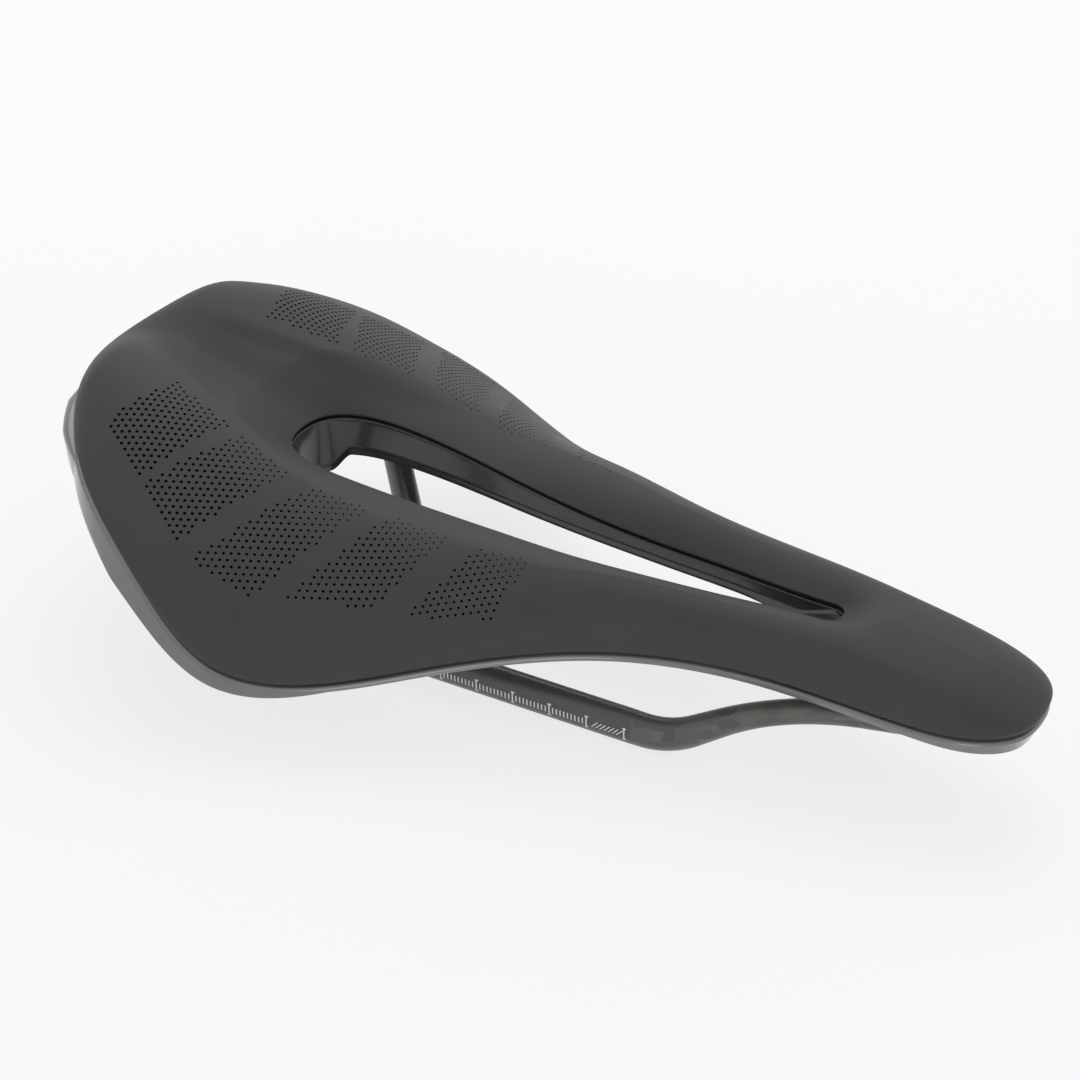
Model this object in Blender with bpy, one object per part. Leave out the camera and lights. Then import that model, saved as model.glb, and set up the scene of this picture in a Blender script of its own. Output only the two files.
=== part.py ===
"""Short-nose bicycle saddle with a relief cut-out and oval rails.

Each piece is its own closed solid. The saddle points along +X, +Y is its left side and +Z is up. The origin
lies midway between the rails, at the middle of their clamping length, level with the rails' undersides.
All sizes are in metres and all angles in degrees.
"""
import math

import bpy
import numpy as np
from mathutils import Vector
from mathutils.bvhtree import BVHTree

# Gap kept between pieces that seat on each other
CLEARANCE = 0.0003

# Seam line, where the cover's lower edge meets the shell
TAIL_X = -0.118
TAIL_SEAM_HEIGHT = 0.0546
TAIL_FULLNESS = 1.91
WING_X = -0.048
WING_HALF_WIDTH = 0.069
WING_SEAM_HEIGHT = 0.0211
FLANK_X = 0.001
FLANK_HALF_WIDTH = 0.047
FLANK_SEAM_HEIGHT = 0.0228
WAIST_X = 0.039
WAIST_HALF_WIDTH = 0.0265
WAIST_SEAM_HEIGHT = 0.0271
THROAT_X = 0.072
THROAT_HALF_WIDTH = 0.0207
THROAT_SEAM_HEIGHT = 0.0282
NOSE_X = 0.105
NOSE_HALF_WIDTH = 0.018
NOSE_SEAM_HEIGHT = 0.0254
NOSE_FULLNESS = 2.6
TIP_X = 0.1317
TIP_SEAM_HEIGHT = 0.0258

# Relief cut-out, measured at the cover's inner edge
CUTOUT_REAR_X = -0.0645
CUTOUT_REAR_FULLNESS = 2.6
CUTOUT_WIDE_X = -0.042
CUTOUT_HALF_WIDTH = 0.0139
CUTOUT_FRONT_X = 0.0823
CUTOUT_FRONT_HALF_WIDTH = 0.0037
CUTOUT_FRONT_ROUND = 0.005
CUTOUT_REAR_HEIGHT = 0.0439
CUTOUT_FRONT_HEIGHT = 0.0356
CUTOUT_LEVEL_X = 0.033

# Deck: crest lines of the pads, their rise to the tail, their drop to the nose and the fall to both sides
CREST_HEIGHT = 0.0449
TAIL_RISE = 0.0270
TAIL_RISE_X = -0.015
TAIL_RISE_POWER = 1.27
TAIL_FLAT_X = -0.104
TAIL_FLAT_LENGTH = 0.016
TAIL_FLAT_DROP = 0.0060
WAIST_DROP = 0.0036
WAIST_DROP_X = -0.0055
WAIST_DROP_LENGTH = 0.086
NOSE_DROP = 0.0097
NOSE_DROP_X = 0.0712
PAD_REAR_X = -0.025
PAD_REAR_OFFSET = 0.0284
PAD_WAIST_OFFSET = 0.0156
PAD_THROAT_OFFSET = 0.0141
PAD_NOSE_OFFSET = 0.0081
PAD_SOFTNESS = 0.008
WING_FALL = 0.0190
FLANK_FALL = 0.0372
WAIST_FALL = 0.0251
WING_FALL_REACH = 0.040
WING_FALL_POWER = 1.3
CHANNEL_DEPTH = 0.0056
CHANNEL_ROUND = 0.006
CHANNEL_POWER = 2.4
CHANNEL_END_X = 0.100
CHANNEL_END_LENGTH = 0.030
CORNER_ROUNDING = 0.012

# Rolled edges of the padding
OUTER_ROLL_TAIL = 0.0230
OUTER_ROLL_WING = 0.0126
OUTER_ROLL_WAIST = 0.0117
OUTER_ROLL_NOSE = 0.0190
INNER_ROLL_REAR_X = 0.030
INNER_ROLL_REAR = 0.0139
INNER_ROLL_FRONT_X = 0.080
INNER_ROLL_FRONT = 0.0190
INNER_ROLL_FULLNESS = 1.05
ROLL_SHARE = 0.96
BULGE_TAIL = 0.0005
BULGE_WING = 0.0010
BULGE_NOSE = 0.0016

# Layers
COVER_THICKNESS = 0.0010
FOAM_DEPTH = 0.012
FOAM_NOSE_DEPTH = 0.0085
SHELL_WALL = 0.0022
SHELL_CROWN_POWER = 0.7
RIM_TAIL_HEIGHT = 0.0062
RIM_TAIL_FLARE = 0.0025
RIM_TAIL_LEDGE = 0.0006
RIM_SHELF_X = -0.109
RIM_SHELF_FLARE = 0.0032
RIM_SHELF_LEDGE = 0.0034
RIM_KINK_X = -0.098
RIM_KINK_FLARE = 0.0012
RIM_KINK_LEDGE = 0.0006
RIM_CORNER_X = -0.075
RIM_CORNER_HEIGHT = 0.0066
RIM_CORNER_FLARE = 0.0027
RIM_CORNER_LEDGE = 0.0005
RIM_WING_HEIGHT = 0.0046
RIM_FLANK_X = -0.020
RIM_FLANK_HEIGHT = 0.0023
RIM_TUCK = 0.0008
RIM_LEDGE_TUCK = 0.0002
RIM_NOSE_HEIGHT = 0.0029
RIM_TIP_HEIGHT = 0.0048
RIM_TIP_TUCK = 0.0016
RIM_LEDGE_SHARE = 0.22
RIM_WALL = 0.0020

# Ring that lines the cut-out
TRIM_WALL = 0.0016
TRIM_END_DEPTH = 0.0145
TRIM_END_X = -0.0575
TRIM_END_LENGTH = 0.005
TRIM_REAR_DEPTH = 0.0102
TRIM_FRONT_DEPTH = 0.0043
TRIM_DRAFT = 0.0006
TRIM_FLANGE = 0.0028
TRIM_FLANGE_THICKNESS = 0.0012
TRIM_SETBACK = 0.012
TRIM_SETBACK_LENGTH = 0.030

# Rails
RAIL_WIDTH = 0.007
RAIL_HEIGHT = 0.009
RAIL_FLAT = 0.002
RAIL_SPACING = 0.044
RAIL_REAR_X = -0.046
RAIL_REAR_BEND = 0.014
RAIL_REAR_ANGLE = 50.0
RAIL_REAR_SPLAY = 41.0
RAIL_REAR_END_GAP = 0.0060
RAIL_TAPER_X = 0.038
RAIL_FRONT_X = 0.050
RAIL_FRONT_BEND = 0.024
RAIL_RAMP_X = 0.078
RAIL_RAMP_SPACING = 0.036
RAIL_RAMP_RISE = 0.0176
RAIL_RAMP_BEND = 0.060
RAIL_NOSE_X = 0.110
RAIL_NOSE_SPACING = 0.018
RAIL_NOSE_COVER = 0.0010
RAIL_NOSE_HEIGHT = 0.0055

# Sockets, caps and screws that hold the rails
NOSE_SOCKET_LENGTH = 0.014
NOSE_SOCKET_END_WALL = 0.004
NOSE_SOCKET_MARGIN = 0.0008
NOSE_SOCKET_CORNER = 0.0030
SOCKET_DEPTH = 0.011
SOCKET_WALL = 0.0020
SOCKET_CORNER = 0.004
SOCKET_DRAFT = 0.0008
SCREW_DIAMETER = 0.0032
SCREW_LENGTH = 0.0090
SCREW_HEAD_DIAMETER = 0.0056
SCREW_HEAD_HEIGHT = 0.0020
SCREW_DRIVE_WIDTH = 0.0025
SCREW_DRIVE_DEPTH = 0.0012

# Facets
TAIL_ANGLES = (0.0, 25.0, 50.0, 72.0)
CUTOUT_REAR_ANGLES = (0.0, 30.0, 56.0, 76.0)
NOSE_ANGLES = (90.0, 52.0, 26.0, 0.0)
COLUMNS_PER_SPAN = (3, 3, 2, 2, 4, 3, 3, 2, 2, 2, 2)
INNER_STEPS = (1.0, 0.82, 0.45)
OUTER_ANGLES = (30.0, 55.0, 75.0, 90.0)
DECK_STEPS = (0.0, 0.33, 0.67, 1.0)
SHELL_LEDGE = 0.10
SHELL_STEPS = (1.0, 0.84, 0.66, 0.46, 0.26, SHELL_LEDGE, 0.0)
RAIL_SIDES = 16
BEND_STEPS = 7
SCREW_SIDES = 12
SMOOTH_ANGLE = 35.0
ROUNDING_TAPS = 9

UP = np.array([0.0, 0.0, 1.0])


def clear_scene():
    """Remove every object that the file starts with."""
    for item in list(bpy.data.objects):
        bpy.data.objects.remove(item, do_unlink=True)


def make_material(name, colour, roughness, metallic=0.0):
    """Return a Principled material of one colour."""
    material = bpy.data.materials.new(name)
    material.use_nodes = True
    shader = material.node_tree.nodes["Principled BSDF"]
    shader.inputs["Base Color"].default_value = (*colour, 1.0)
    shader.inputs["Roughness"].default_value = roughness
    shader.inputs["Metallic"].default_value = metallic
    return material


def signed_volume(points, triangles):
    """Return the volume that the triangles enclose, negative when they face inwards."""
    a, b, c = (points[triangles[:, k]] for k in range(3))
    return float(np.einsum("ij,ij->i", a, np.cross(b, c)).sum()) / 6.0


def add_solid(name, points, triangles, material):
    """Make one object from triangles, turned so that its faces point out."""
    points = np.asarray(points, dtype=float).reshape(-1, 3)
    triangles = np.asarray(triangles, dtype=int)
    if signed_volume(points, triangles) < 0.0:
        triangles = triangles[:, ::-1]
    mesh = bpy.data.meshes.new(name)
    mesh.from_pydata(points.tolist(), [], triangles.tolist())
    mesh.validate()
    mesh.shade_smooth()
    mesh.set_sharp_from_angle(angle=math.radians(SMOOTH_ANGLE))
    if material is not None:
        mesh.materials.append(material)
    solid = bpy.data.objects.new(name, mesh)
    bpy.context.collection.objects.link(solid)
    return solid


def quad_triangles(corners, mirrored):
    """Split quads into triangles, on the other diagonal where mirrored says so."""
    a, b, c, d = corners
    plain = np.stack([np.stack([a, b, c], -1), np.stack([a, c, d], -1)], -2)
    other = np.stack([np.stack([a, b, d], -1), np.stack([b, c, d], -1)], -2)
    return np.where(mirrored[..., None, None], other, plain).reshape(-1, 3)


def ring_solid(name, sections, sheet_rows, material):
    """Join closed sections round a loop into a ring.

    Each section runs along one sheet for sheet_rows points and back along the other, so that facing sheets of
    neighbouring rings break into the same triangles.
    """
    columns, rows = sections.shape[:2]
    column = np.arange(columns)[:, None]
    row = np.arange(rows)[None, :]
    next_column = (column + 1) % columns
    next_row = (row + 1) % rows
    corners = (column * rows + row, next_column * rows + row,
               next_column * rows + next_row, column * rows + next_row)
    mirrored = (column >= columns // 2) ^ (row >= sheet_rows)
    return add_solid(name, sections, quad_triangles(np.broadcast_arrays(*corners), mirrored), material)


def loft_solid(name, rings, material):
    """Join closed rings in a row and close both ends with fans."""
    rings = np.asarray(rings)
    count, sides = rings.shape[:2]
    ring = np.arange(count - 1)[:, None]
    side = np.arange(sides)[None, :]
    next_side = (side + 1) % sides
    corners = (ring * sides + side, ring * sides + next_side,
               (ring + 1) * sides + next_side, (ring + 1) * sides + side)
    corners = np.broadcast_arrays(*corners)
    walls = quad_triangles(corners, np.zeros(corners[0].shape, dtype=bool))
    first, last = count * sides, count * sides + 1
    around = np.arange(sides)
    following = (around + 1) % sides
    base = (count - 1) * sides
    start_cap = np.stack([following, around, np.full(sides, first)], -1)
    end_cap = np.stack([base + around, base + following, np.full(sides, last)], -1)
    points = np.concatenate([rings.reshape(-1, 3), rings[[0, -1]].mean(axis=1)])
    return add_solid(name, points, np.concatenate([walls, start_cap, end_cap]), material)


def cut(piece, cutter):
    """Cut one piece with a hidden cutter."""
    cutter.hide_render = True
    cutter.display_type = "WIRE"
    boolean = piece.modifiers.new("cut_" + cutter.name, "BOOLEAN")
    boolean.operation = "DIFFERENCE"
    boolean.solver = "EXACT"
    boolean.object = cutter


def unit(vectors):
    """Return vectors of length one."""
    return vectors / np.linalg.norm(vectors, axis=-1, keepdims=True)


def ease(value):
    """Rise smoothly from 0 to 1 while the value goes from 0 to 1."""
    value = np.clip(value, 0.0, 1.0)
    return value * value * (3.0 - 2.0 * value)


def soft_interp(x, stops, values):
    """Interpolate between stops and round the corner at each stop."""
    taps = np.linspace(-CORNER_ROUNDING, CORNER_ROUNDING, ROUNDING_TAPS)
    return np.mean([np.interp(x + tap, stops, values) for tap in taps], axis=0)


def arc(angles, reach, half_width, fullness):
    """Return points on a quarter superellipse, from its end at 0 degrees to its widest place at 90."""
    turn = np.radians(angles)
    power = 2.0 / fullness
    return reach * np.cos(turn).clip(0.0) ** power, half_width * np.sin(turn).clip(0.0) ** power


def seam_stations():
    """Return the seam's stations on the left side, from the tail to the tip of the nose."""
    back, tail_y = arc(TAIL_ANGLES, WING_X - TAIL_X, WING_HALF_WIDTH, TAIL_FULLNESS)
    lift = np.sin(0.5 * np.pi * back / (WING_X - TAIL_X))
    tail_z = WING_SEAM_HEIGHT + (TAIL_SEAM_HEIGHT - WING_SEAM_HEIGHT) * lift
    forward, nose_y = arc(NOSE_ANGLES, TIP_X - NOSE_X, NOSE_HALF_WIDTH, NOSE_FULLNESS)
    dip = (forward / (TIP_X - NOSE_X)) ** 2
    nose_z = NOSE_SEAM_HEIGHT + (TIP_SEAM_HEIGHT - NOSE_SEAM_HEIGHT) * dip
    sides = [(WING_X, WING_HALF_WIDTH, WING_SEAM_HEIGHT),
             (FLANK_X, FLANK_HALF_WIDTH, FLANK_SEAM_HEIGHT),
             (WAIST_X, WAIST_HALF_WIDTH, WAIST_SEAM_HEIGHT),
             (THROAT_X, THROAT_HALF_WIDTH, THROAT_SEAM_HEIGHT)]
    tail = np.stack([WING_X - back, tail_y, tail_z], -1)
    nose = np.stack([NOSE_X + forward, nose_y, nose_z], -1)
    return np.concatenate([tail, sides, nose])


def cutout_stations(seam):
    """Return the cut-out's stations, each opposite the seam's station of the same number."""
    shoulder_x = CUTOUT_FRONT_X - CUTOUT_FRONT_ROUND
    back, rear_y = arc(CUTOUT_REAR_ANGLES, CUTOUT_WIDE_X - CUTOUT_REAR_X, CUTOUT_HALF_WIDTH,
                       CUTOUT_REAR_FULLNESS)
    forward, front_y = arc(NOSE_ANGLES, CUTOUT_FRONT_ROUND, CUTOUT_FRONT_HALF_WIDTH, NOSE_FULLNESS)
    sides = seam[len(TAIL_ANGLES):len(seam) - len(NOSE_ANGLES)]
    share = (sides[:, 0] - WING_X) / (NOSE_X - WING_X)
    taper_x = CUTOUT_WIDE_X + (shoulder_x - CUTOUT_WIDE_X) * share
    taper_y = CUTOUT_HALF_WIDTH + (CUTOUT_FRONT_HALF_WIDTH - CUTOUT_HALF_WIDTH) * share
    x = np.concatenate([CUTOUT_WIDE_X - back, taper_x, shoulder_x + forward])
    y = np.concatenate([rear_y, taper_y, front_y])
    level = ease((CUTOUT_LEVEL_X - x) / (CUTOUT_LEVEL_X - CUTOUT_REAR_X))
    z = CUTOUT_FRONT_HEIGHT + (CUTOUT_REAR_HEIGHT - CUTOUT_FRONT_HEIGHT) * level
    return np.stack([x, y, z], -1)


def closed_curve(stations):
    """Return points on a smooth closed curve through the stations and their mirror images."""
    mirror = stations[-2:0:-1] * (1.0, -1.0, 1.0)
    knots = np.concatenate([stations, mirror])
    count = len(knots)
    following = np.roll(knots, -1, axis=0)
    step = np.linalg.norm(following - knots, axis=1)
    slope = (following - knots) / step[:, None]
    # Second derivatives that keep the curvature continuous at every station
    system = np.diag(2.0 * (step + np.roll(step, 1)))
    index = np.arange(count)
    system[index, (index + 1) % count] += step
    system[index, (index - 1) % count] += np.roll(step, 1)
    bend = np.linalg.solve(system, 6.0 * (slope - np.roll(slope, 1, axis=0)))
    spans = COLUMNS_PER_SPAN + COLUMNS_PER_SPAN[::-1]
    span = np.repeat(np.arange(count), spans)
    part = np.concatenate([np.arange(steps) / steps for steps in spans])[:, None]
    start, end = knots[span], following[span]
    start_bend, end_bend = bend[span], np.roll(bend, -1, axis=0)[span]
    length = step[span][:, None]
    sag = (part ** 3 - part) * end_bend + ((1.0 - part) ** 3 - (1.0 - part)) * start_bend
    return (1.0 - part) * start + part * end + sag * length ** 2 / 6.0


def deck_height(x, y):
    """Return the height of the deck over a place, before its edges roll down."""
    tail = np.clip((TAIL_RISE_X - x) / (TAIL_RISE_X - TAIL_X), 0.0, None)
    nose = np.clip((x - NOSE_DROP_X) / (TIP_X - NOSE_DROP_X), 0.0, None)
    step = ease((x - WAIST_DROP_X) / WAIST_DROP_LENGTH)
    flat = ease((TAIL_FLAT_X - x) / TAIL_FLAT_LENGTH)
    crest = (CREST_HEIGHT + TAIL_RISE * tail ** TAIL_RISE_POWER - WAIST_DROP * step - NOSE_DROP * nose ** 2
             - TAIL_FLAT_DROP * flat)
    pad = soft_interp(x, (PAD_REAR_X, WAIST_X, THROAT_X, NOSE_X),
                      (PAD_REAR_OFFSET, PAD_WAIST_OFFSET, PAD_THROAT_OFFSET, PAD_NOSE_OFFSET))
    beyond = np.abs(y) - pad
    outside = 0.5 * (beyond + np.hypot(beyond, PAD_SOFTNESS))
    drop = soft_interp(x, (WING_X, FLANK_X, WAIST_X), (WING_FALL, FLANK_FALL, WAIST_FALL))
    fall = drop * (outside / WING_FALL_REACH) ** WING_FALL_POWER
    fade = ease((CHANNEL_END_X - x) / CHANNEL_END_LENGTH) * (1.0 - flat)
    bow = np.hypot(y, CHANNEL_ROUND) - CHANNEL_ROUND
    full = np.hypot(pad, CHANNEL_ROUND) - CHANNEL_ROUND
    channel = CHANNEL_DEPTH * fade * (1.0 - bow / full).clip(0.0) ** CHANNEL_POWER
    return crest - fall - channel


def loop_normals(loop):
    """Return level unit normals of a loop that point away from its middle."""
    tangent = np.roll(loop, -1, axis=0) - np.roll(loop, 1, axis=0)
    return unit(np.cross(UP, tangent) * (1.0, 1.0, 0.0))


def sheet_normals(sheet):
    """Return upward unit normals of a sheet whose columns run round the cut-out."""
    around = np.roll(sheet, -1, axis=0) - np.roll(sheet, 1, axis=0)
    across = np.gradient(sheet, axis=1)
    return unit(np.cross(around, across))


class SaddleSurfaces:
    """Sheets of the saddle's layers, each a grid of columns round the cut-out by rows from it outwards."""

    def __init__(self):
        seam = seam_stations()
        self.outer = closed_curve(seam)
        self.inner = closed_curve(cutout_stations(seam))
        across = (self.outer - self.inner) * (1.0, 1.0, 0.0)
        self.span = np.linalg.norm(across, axis=1)
        self.outward = across / self.span[:, None]
        self.outer_normal = loop_normals(self.outer)
        self.inner_normal = loop_normals(self.inner)
        self.cover_top = self.make_cover_top()
        self.cover_normal = self.make_cover_normal()
        self.shell_top = self.make_shell_top()
        self.shell_normal = self.make_shell_normal()
        self.shell_under = self.shell_top - SHELL_WALL * self.shell_normal
        self.rim_ledge, self.rim_outer, self.rim_inner = self.make_rim()
        self.under_tree = self.make_under_tree()

    def make_cover_top(self):
        """Return the cover's outer sheet: a deck that rolls down into the cut-out and over the seam."""
        outer_roll = soft_interp(self.outer[:, 0], (TAIL_X, WING_X, WAIST_X, NOSE_X),
                                 (OUTER_ROLL_TAIL, OUTER_ROLL_WING, OUTER_ROLL_WAIST, OUTER_ROLL_NOSE))
        inner_roll = soft_interp(self.inner[:, 0], (INNER_ROLL_REAR_X, INNER_ROLL_FRONT_X),
                                 (INNER_ROLL_REAR, INNER_ROLL_FRONT))
        bulge = soft_interp(self.outer[:, 0], (TAIL_X, WING_X, NOSE_X), (BULGE_TAIL, BULGE_WING, BULGE_NOSE))
        fit = np.minimum(1.0, ROLL_SHARE * self.span / (outer_roll + inner_roll))
        outer_roll = (outer_roll * fit)[:, None]
        inner_roll = (inner_roll * fit)[:, None]
        span = self.span[:, None]
        zero = np.zeros(len(self.span))[:, None]
        inner_step = np.array(INNER_STEPS)[None, :]
        inner_fall = 1.0 - (1.0 - inner_step ** INNER_ROLL_FULLNESS) ** (1.0 / INNER_ROLL_FULLNESS)
        outer_turn = np.radians(OUTER_ANGLES)[None, :]
        deck = inner_roll + np.array(DECK_STEPS)[None, :] * (span - inner_roll - outer_roll)
        distance = np.concatenate([inner_roll * (1.0 - inner_step), deck,
                                   span - outer_roll * (1.0 - np.sin(outer_turn))], axis=1)
        flat = zero + np.zeros(len(DECK_STEPS))
        inner_drop = np.concatenate([zero + inner_fall, flat, zero + 0.0 * outer_turn], axis=1)
        outer_drop = np.concatenate([zero + 0.0 * inner_step, flat, zero + 1.0 - np.cos(outer_turn)], axis=1)
        swell = np.concatenate([zero + 0.0 * inner_step, flat, zero + np.sin(2.0 * outer_turn)], axis=1)
        sheet = self.inner[:, None, :] + distance[..., None] * self.outward[:, None, :]
        inner_height = deck_height(self.inner[:, 0], self.inner[:, 1]) - self.inner[:, 2]
        outer_height = deck_height(self.outer[:, 0], self.outer[:, 1]) - self.outer[:, 2]
        sheet[..., 2] = (deck_height(sheet[..., 0], sheet[..., 1]) - inner_drop * inner_height[:, None]
                         - outer_drop * outer_height[:, None])
        return sheet + (swell * bulge[:, None])[..., None] * self.outward[:, None, :]

    def make_cover_normal(self):
        """Return the cover's normals, level at both edges."""
        normal = sheet_normals(self.cover_top)
        normal[:, 0] = -self.inner_normal
        normal[:, -1] = self.outer_normal
        return normal

    def make_shell_top(self):
        """Return the shell's upper sheet, from the trim's back to the seam's ledge."""
        inside = self.inner + (TRIM_WALL + CLEARANCE) * self.inner_normal
        step = np.array(SHELL_STEPS)[None, :, None]
        sheet = step * inside[:, None, :] + (1.0 - step) * self.outer[:, None, :]
        above = (np.array(SHELL_STEPS)[None, :] - SHELL_LEDGE).clip(0.0) / (1.0 - SHELL_LEDGE)
        base = above * inside[:, None, 2] + (1.0 - above) * self.outer[:, None, 2] - CLEARANCE
        depth = np.interp(sheet[..., 0], (WAIST_X, NOSE_X), (FOAM_DEPTH, FOAM_NOSE_DEPTH))
        floor = deck_height(sheet[..., 0], sheet[..., 1]) - depth
        crown = np.sin(np.pi * above).clip(0.0) ** SHELL_CROWN_POWER
        sheet[..., 2] = base + crown * (floor - base)
        return sheet

    def make_shell_normal(self):
        """Return the shell's normals, upright at both edges."""
        normal = sheet_normals(self.shell_top)
        normal[:, 0] = UP
        normal[:, -1] = UP
        return normal

    def make_rim(self):
        """Return the ledge below the seam and the outer and the inner lower edge of the shell's rim."""
        x = self.outer[:, 0]
        height = np.interp(x, (TAIL_X, RIM_CORNER_X, WING_X, RIM_FLANK_X, WAIST_X, NOSE_X, TIP_X),
                           (RIM_TAIL_HEIGHT, RIM_CORNER_HEIGHT, RIM_WING_HEIGHT, RIM_FLANK_HEIGHT,
                            RIM_FLANK_HEIGHT, RIM_NOSE_HEIGHT, RIM_TIP_HEIGHT))[:, None]
        stops = (TAIL_X, RIM_SHELF_X, RIM_KINK_X, RIM_CORNER_X, RIM_FLANK_X, NOSE_X, TIP_X)
        flare = np.interp(x, stops, (RIM_TAIL_FLARE, RIM_SHELF_FLARE, RIM_KINK_FLARE, RIM_CORNER_FLARE,
                                     -RIM_TUCK, -RIM_TUCK, -RIM_TIP_TUCK))[:, None]
        jut = np.interp(x, stops, (RIM_TAIL_LEDGE, RIM_SHELF_LEDGE, RIM_KINK_LEDGE, RIM_CORNER_LEDGE,
                                   -RIM_LEDGE_TUCK, -RIM_LEDGE_TUCK, -RIM_LEDGE_TUCK))[:, None]
        edge = self.outer - CLEARANCE * UP
        ledge = edge - RIM_LEDGE_SHARE * height * UP + jut * self.outer_normal
        outer = edge - height * UP + flare * self.outer_normal
        return ledge, outer, outer - RIM_WALL * self.outer_normal

    def make_under_tree(self):
        """Return a search tree of the shell's underside, for finding its height over a place."""
        columns, rows = self.shell_under.shape[:2]
        points = [Vector(point) for point in self.shell_under.reshape(-1, 3)]
        faces = []
        for column in range(columns):
            start, following = column * rows, ((column + 1) % columns) * rows
            faces += [(start + row, following + row, following + row + 1, start + row + 1)
                      for row in range(rows - 1)]
        return BVHTree.FromPolygons(points, faces)

    def under_distance(self, point, direction):
        """Return how far the shell's underside lies from a point along a direction."""
        return self.under_tree.ray_cast(Vector(point), Vector(direction))[3]

    def under_height(self, x, y):
        """Return the height of the shell's underside over a place."""
        return self.under_distance((x, y, 0.0), UP)

    def rim_inner_half_width(self, x):
        """Return the half-width inside the rim, forward of the wings."""
        half = self.outer[:len(self.outer) // 2 + 1]
        forward = half[np.argmax(half[:, 1]):]
        return np.interp(x, forward[:, 0], forward[:, 1]) - RIM_TUCK - RIM_WALL


def make_cover(surfaces, material):
    """Make the thin cover."""
    top = surfaces.cover_top
    inside = top - COVER_THICKNESS * surfaces.cover_normal
    sections = np.concatenate([top, inside[:, ::-1]], axis=1)
    return ring_solid("cover", sections, top.shape[1], material)


def make_foam(surfaces, material):
    """Make the padding between the cover and the shell."""
    top = surfaces.cover_top - (COVER_THICKNESS + CLEARANCE) * surfaces.cover_normal
    seat = surfaces.shell_top[:, :-1] + CLEARANCE * UP
    sections = np.concatenate([top, seat[:, ::-1]], axis=1)
    return ring_solid("foam_pad", sections, top.shape[1], material)


def make_shell(surfaces, material):
    """Make the shell with the rim that shows below the cover."""
    rim = np.stack([surfaces.rim_ledge, surfaces.rim_outer, surfaces.rim_inner], axis=1)
    sections = np.concatenate([surfaces.shell_top, rim, surfaces.shell_under[:, -2::-1]], axis=1)
    return ring_solid("base_shell", sections, surfaces.shell_top.shape[1], material)


def make_shell_cutter(surfaces):
    """Make the cutter that trims pieces to the inside of the shell and its rim."""
    under = surfaces.shell_under[:, :-1] - CLEARANCE * surfaces.shell_normal[:, :-1]
    wall = surfaces.rim_inner - CLEARANCE * (surfaces.outer_normal + UP)
    outside = surfaces.rim_outer - CLEARANCE * UP
    lower = np.concatenate([under, wall[:, None], outside[:, None]], axis=1)
    raised = lower + TAIL_SEAM_HEIGHT * UP
    sections = np.concatenate([raised, lower[:, ::-1]], axis=1)
    return ring_solid("shell_cutter", sections, lower.shape[1], None)


def make_trim(surfaces, material):
    """Make the ring that lines the cut-out, with a flange that hooks under the shell."""
    inner, normal = surfaces.inner, surfaces.inner_normal
    top = inner - CLEARANCE * UP
    back = top + TRIM_WALL * normal
    edge = surfaces.shell_under[:, 0] - CLEARANCE * UP
    next_row = surfaces.shell_under[:, 1] - CLEARANCE * surfaces.shell_normal[:, 1]
    slope = unit(next_row - edge)
    tip = edge + TRIM_FLANGE * slope
    root = np.concatenate([back[:, :2], edge[:, 2:]], axis=1)
    tip_under = tip - TRIM_FLANGE_THICKNESS * UP
    reach = ease((CUTOUT_LEVEL_X - inner[:, 0]) / (CUTOUT_LEVEL_X - CUTOUT_REAR_X))
    end = ease((TRIM_END_X - inner[:, 0]) / TRIM_END_LENGTH)
    depth = (TRIM_FRONT_DEPTH + (TRIM_REAR_DEPTH - TRIM_FRONT_DEPTH) * reach
             + (TRIM_END_DEPTH - TRIM_REAR_DEPTH) * end)
    front = ease((inner[:, 0] - CUTOUT_FRONT_X + TRIM_SETBACK_LENGTH) / TRIM_SETBACK_LENGTH)
    foot = inner - depth[:, None] * UP - TRIM_DRAFT * normal
    foot[:, 0] -= TRIM_SETBACK * front
    foot_back = np.concatenate([root[:, :2], np.minimum(foot[:, 2:], tip_under[:, 2:])], axis=1)
    sections = np.stack([top, back, root, tip, tip_under, foot_back, foot], axis=1)
    return ring_solid("cutout_trim", sections, 2, material)


def rounded_path(corners, bends):
    """Return points along straight runs whose inner corners are rounded to the given radii."""
    points = [corners[0]]
    for before, corner, after, radius in zip(corners, corners[1:], corners[2:], bends):
        arriving, leaving = unit(corner - before), unit(after - corner)
        turn = math.acos(float(np.clip(arriving @ leaving, -1.0, 1.0)))
        reach = radius * math.tan(0.5 * turn)
        start = corner - reach * arriving
        inward = unit(leaving - (leaving @ arriving) * arriving)
        for angle in np.linspace(0.0, turn, BEND_STEPS):
            points.append(start + radius * (math.sin(angle) * arriving + (1.0 - math.cos(angle)) * inward))
    points.append(corners[-1])
    return np.array(points)


def rail_corners(surfaces):
    """Return the left rail's corners from its rear end to its front end."""
    level = 0.5 * RAIL_HEIGHT
    rear = np.array([RAIL_REAR_X, 0.5 * RAIL_SPACING, level])
    rise, splay = math.radians(RAIL_REAR_ANGLE), math.radians(RAIL_REAR_SPLAY)
    outward = np.array([-math.cos(splay), math.sin(splay), 0.0])
    direction = math.cos(rise) * outward + math.sin(rise) * UP
    rear_end = rear + direction * (surfaces.under_distance(rear, direction) - RAIL_REAR_END_GAP)
    front = np.array([RAIL_FRONT_X, 0.5 * RAIL_SPACING, level])
    ramp = np.array([RAIL_RAMP_X, 0.5 * RAIL_RAMP_SPACING, level + RAIL_RAMP_RISE])
    nose_y = 0.5 * RAIL_NOSE_SPACING
    roof = surfaces.under_height(RAIL_NOSE_X, nose_y) - CLEARANCE - RAIL_NOSE_COVER
    nose_end = np.array([RAIL_NOSE_X, nose_y, roof - 0.5 * RAIL_NOSE_HEIGHT])
    return [rear_end, rear, front, ramp, nose_end]


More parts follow.
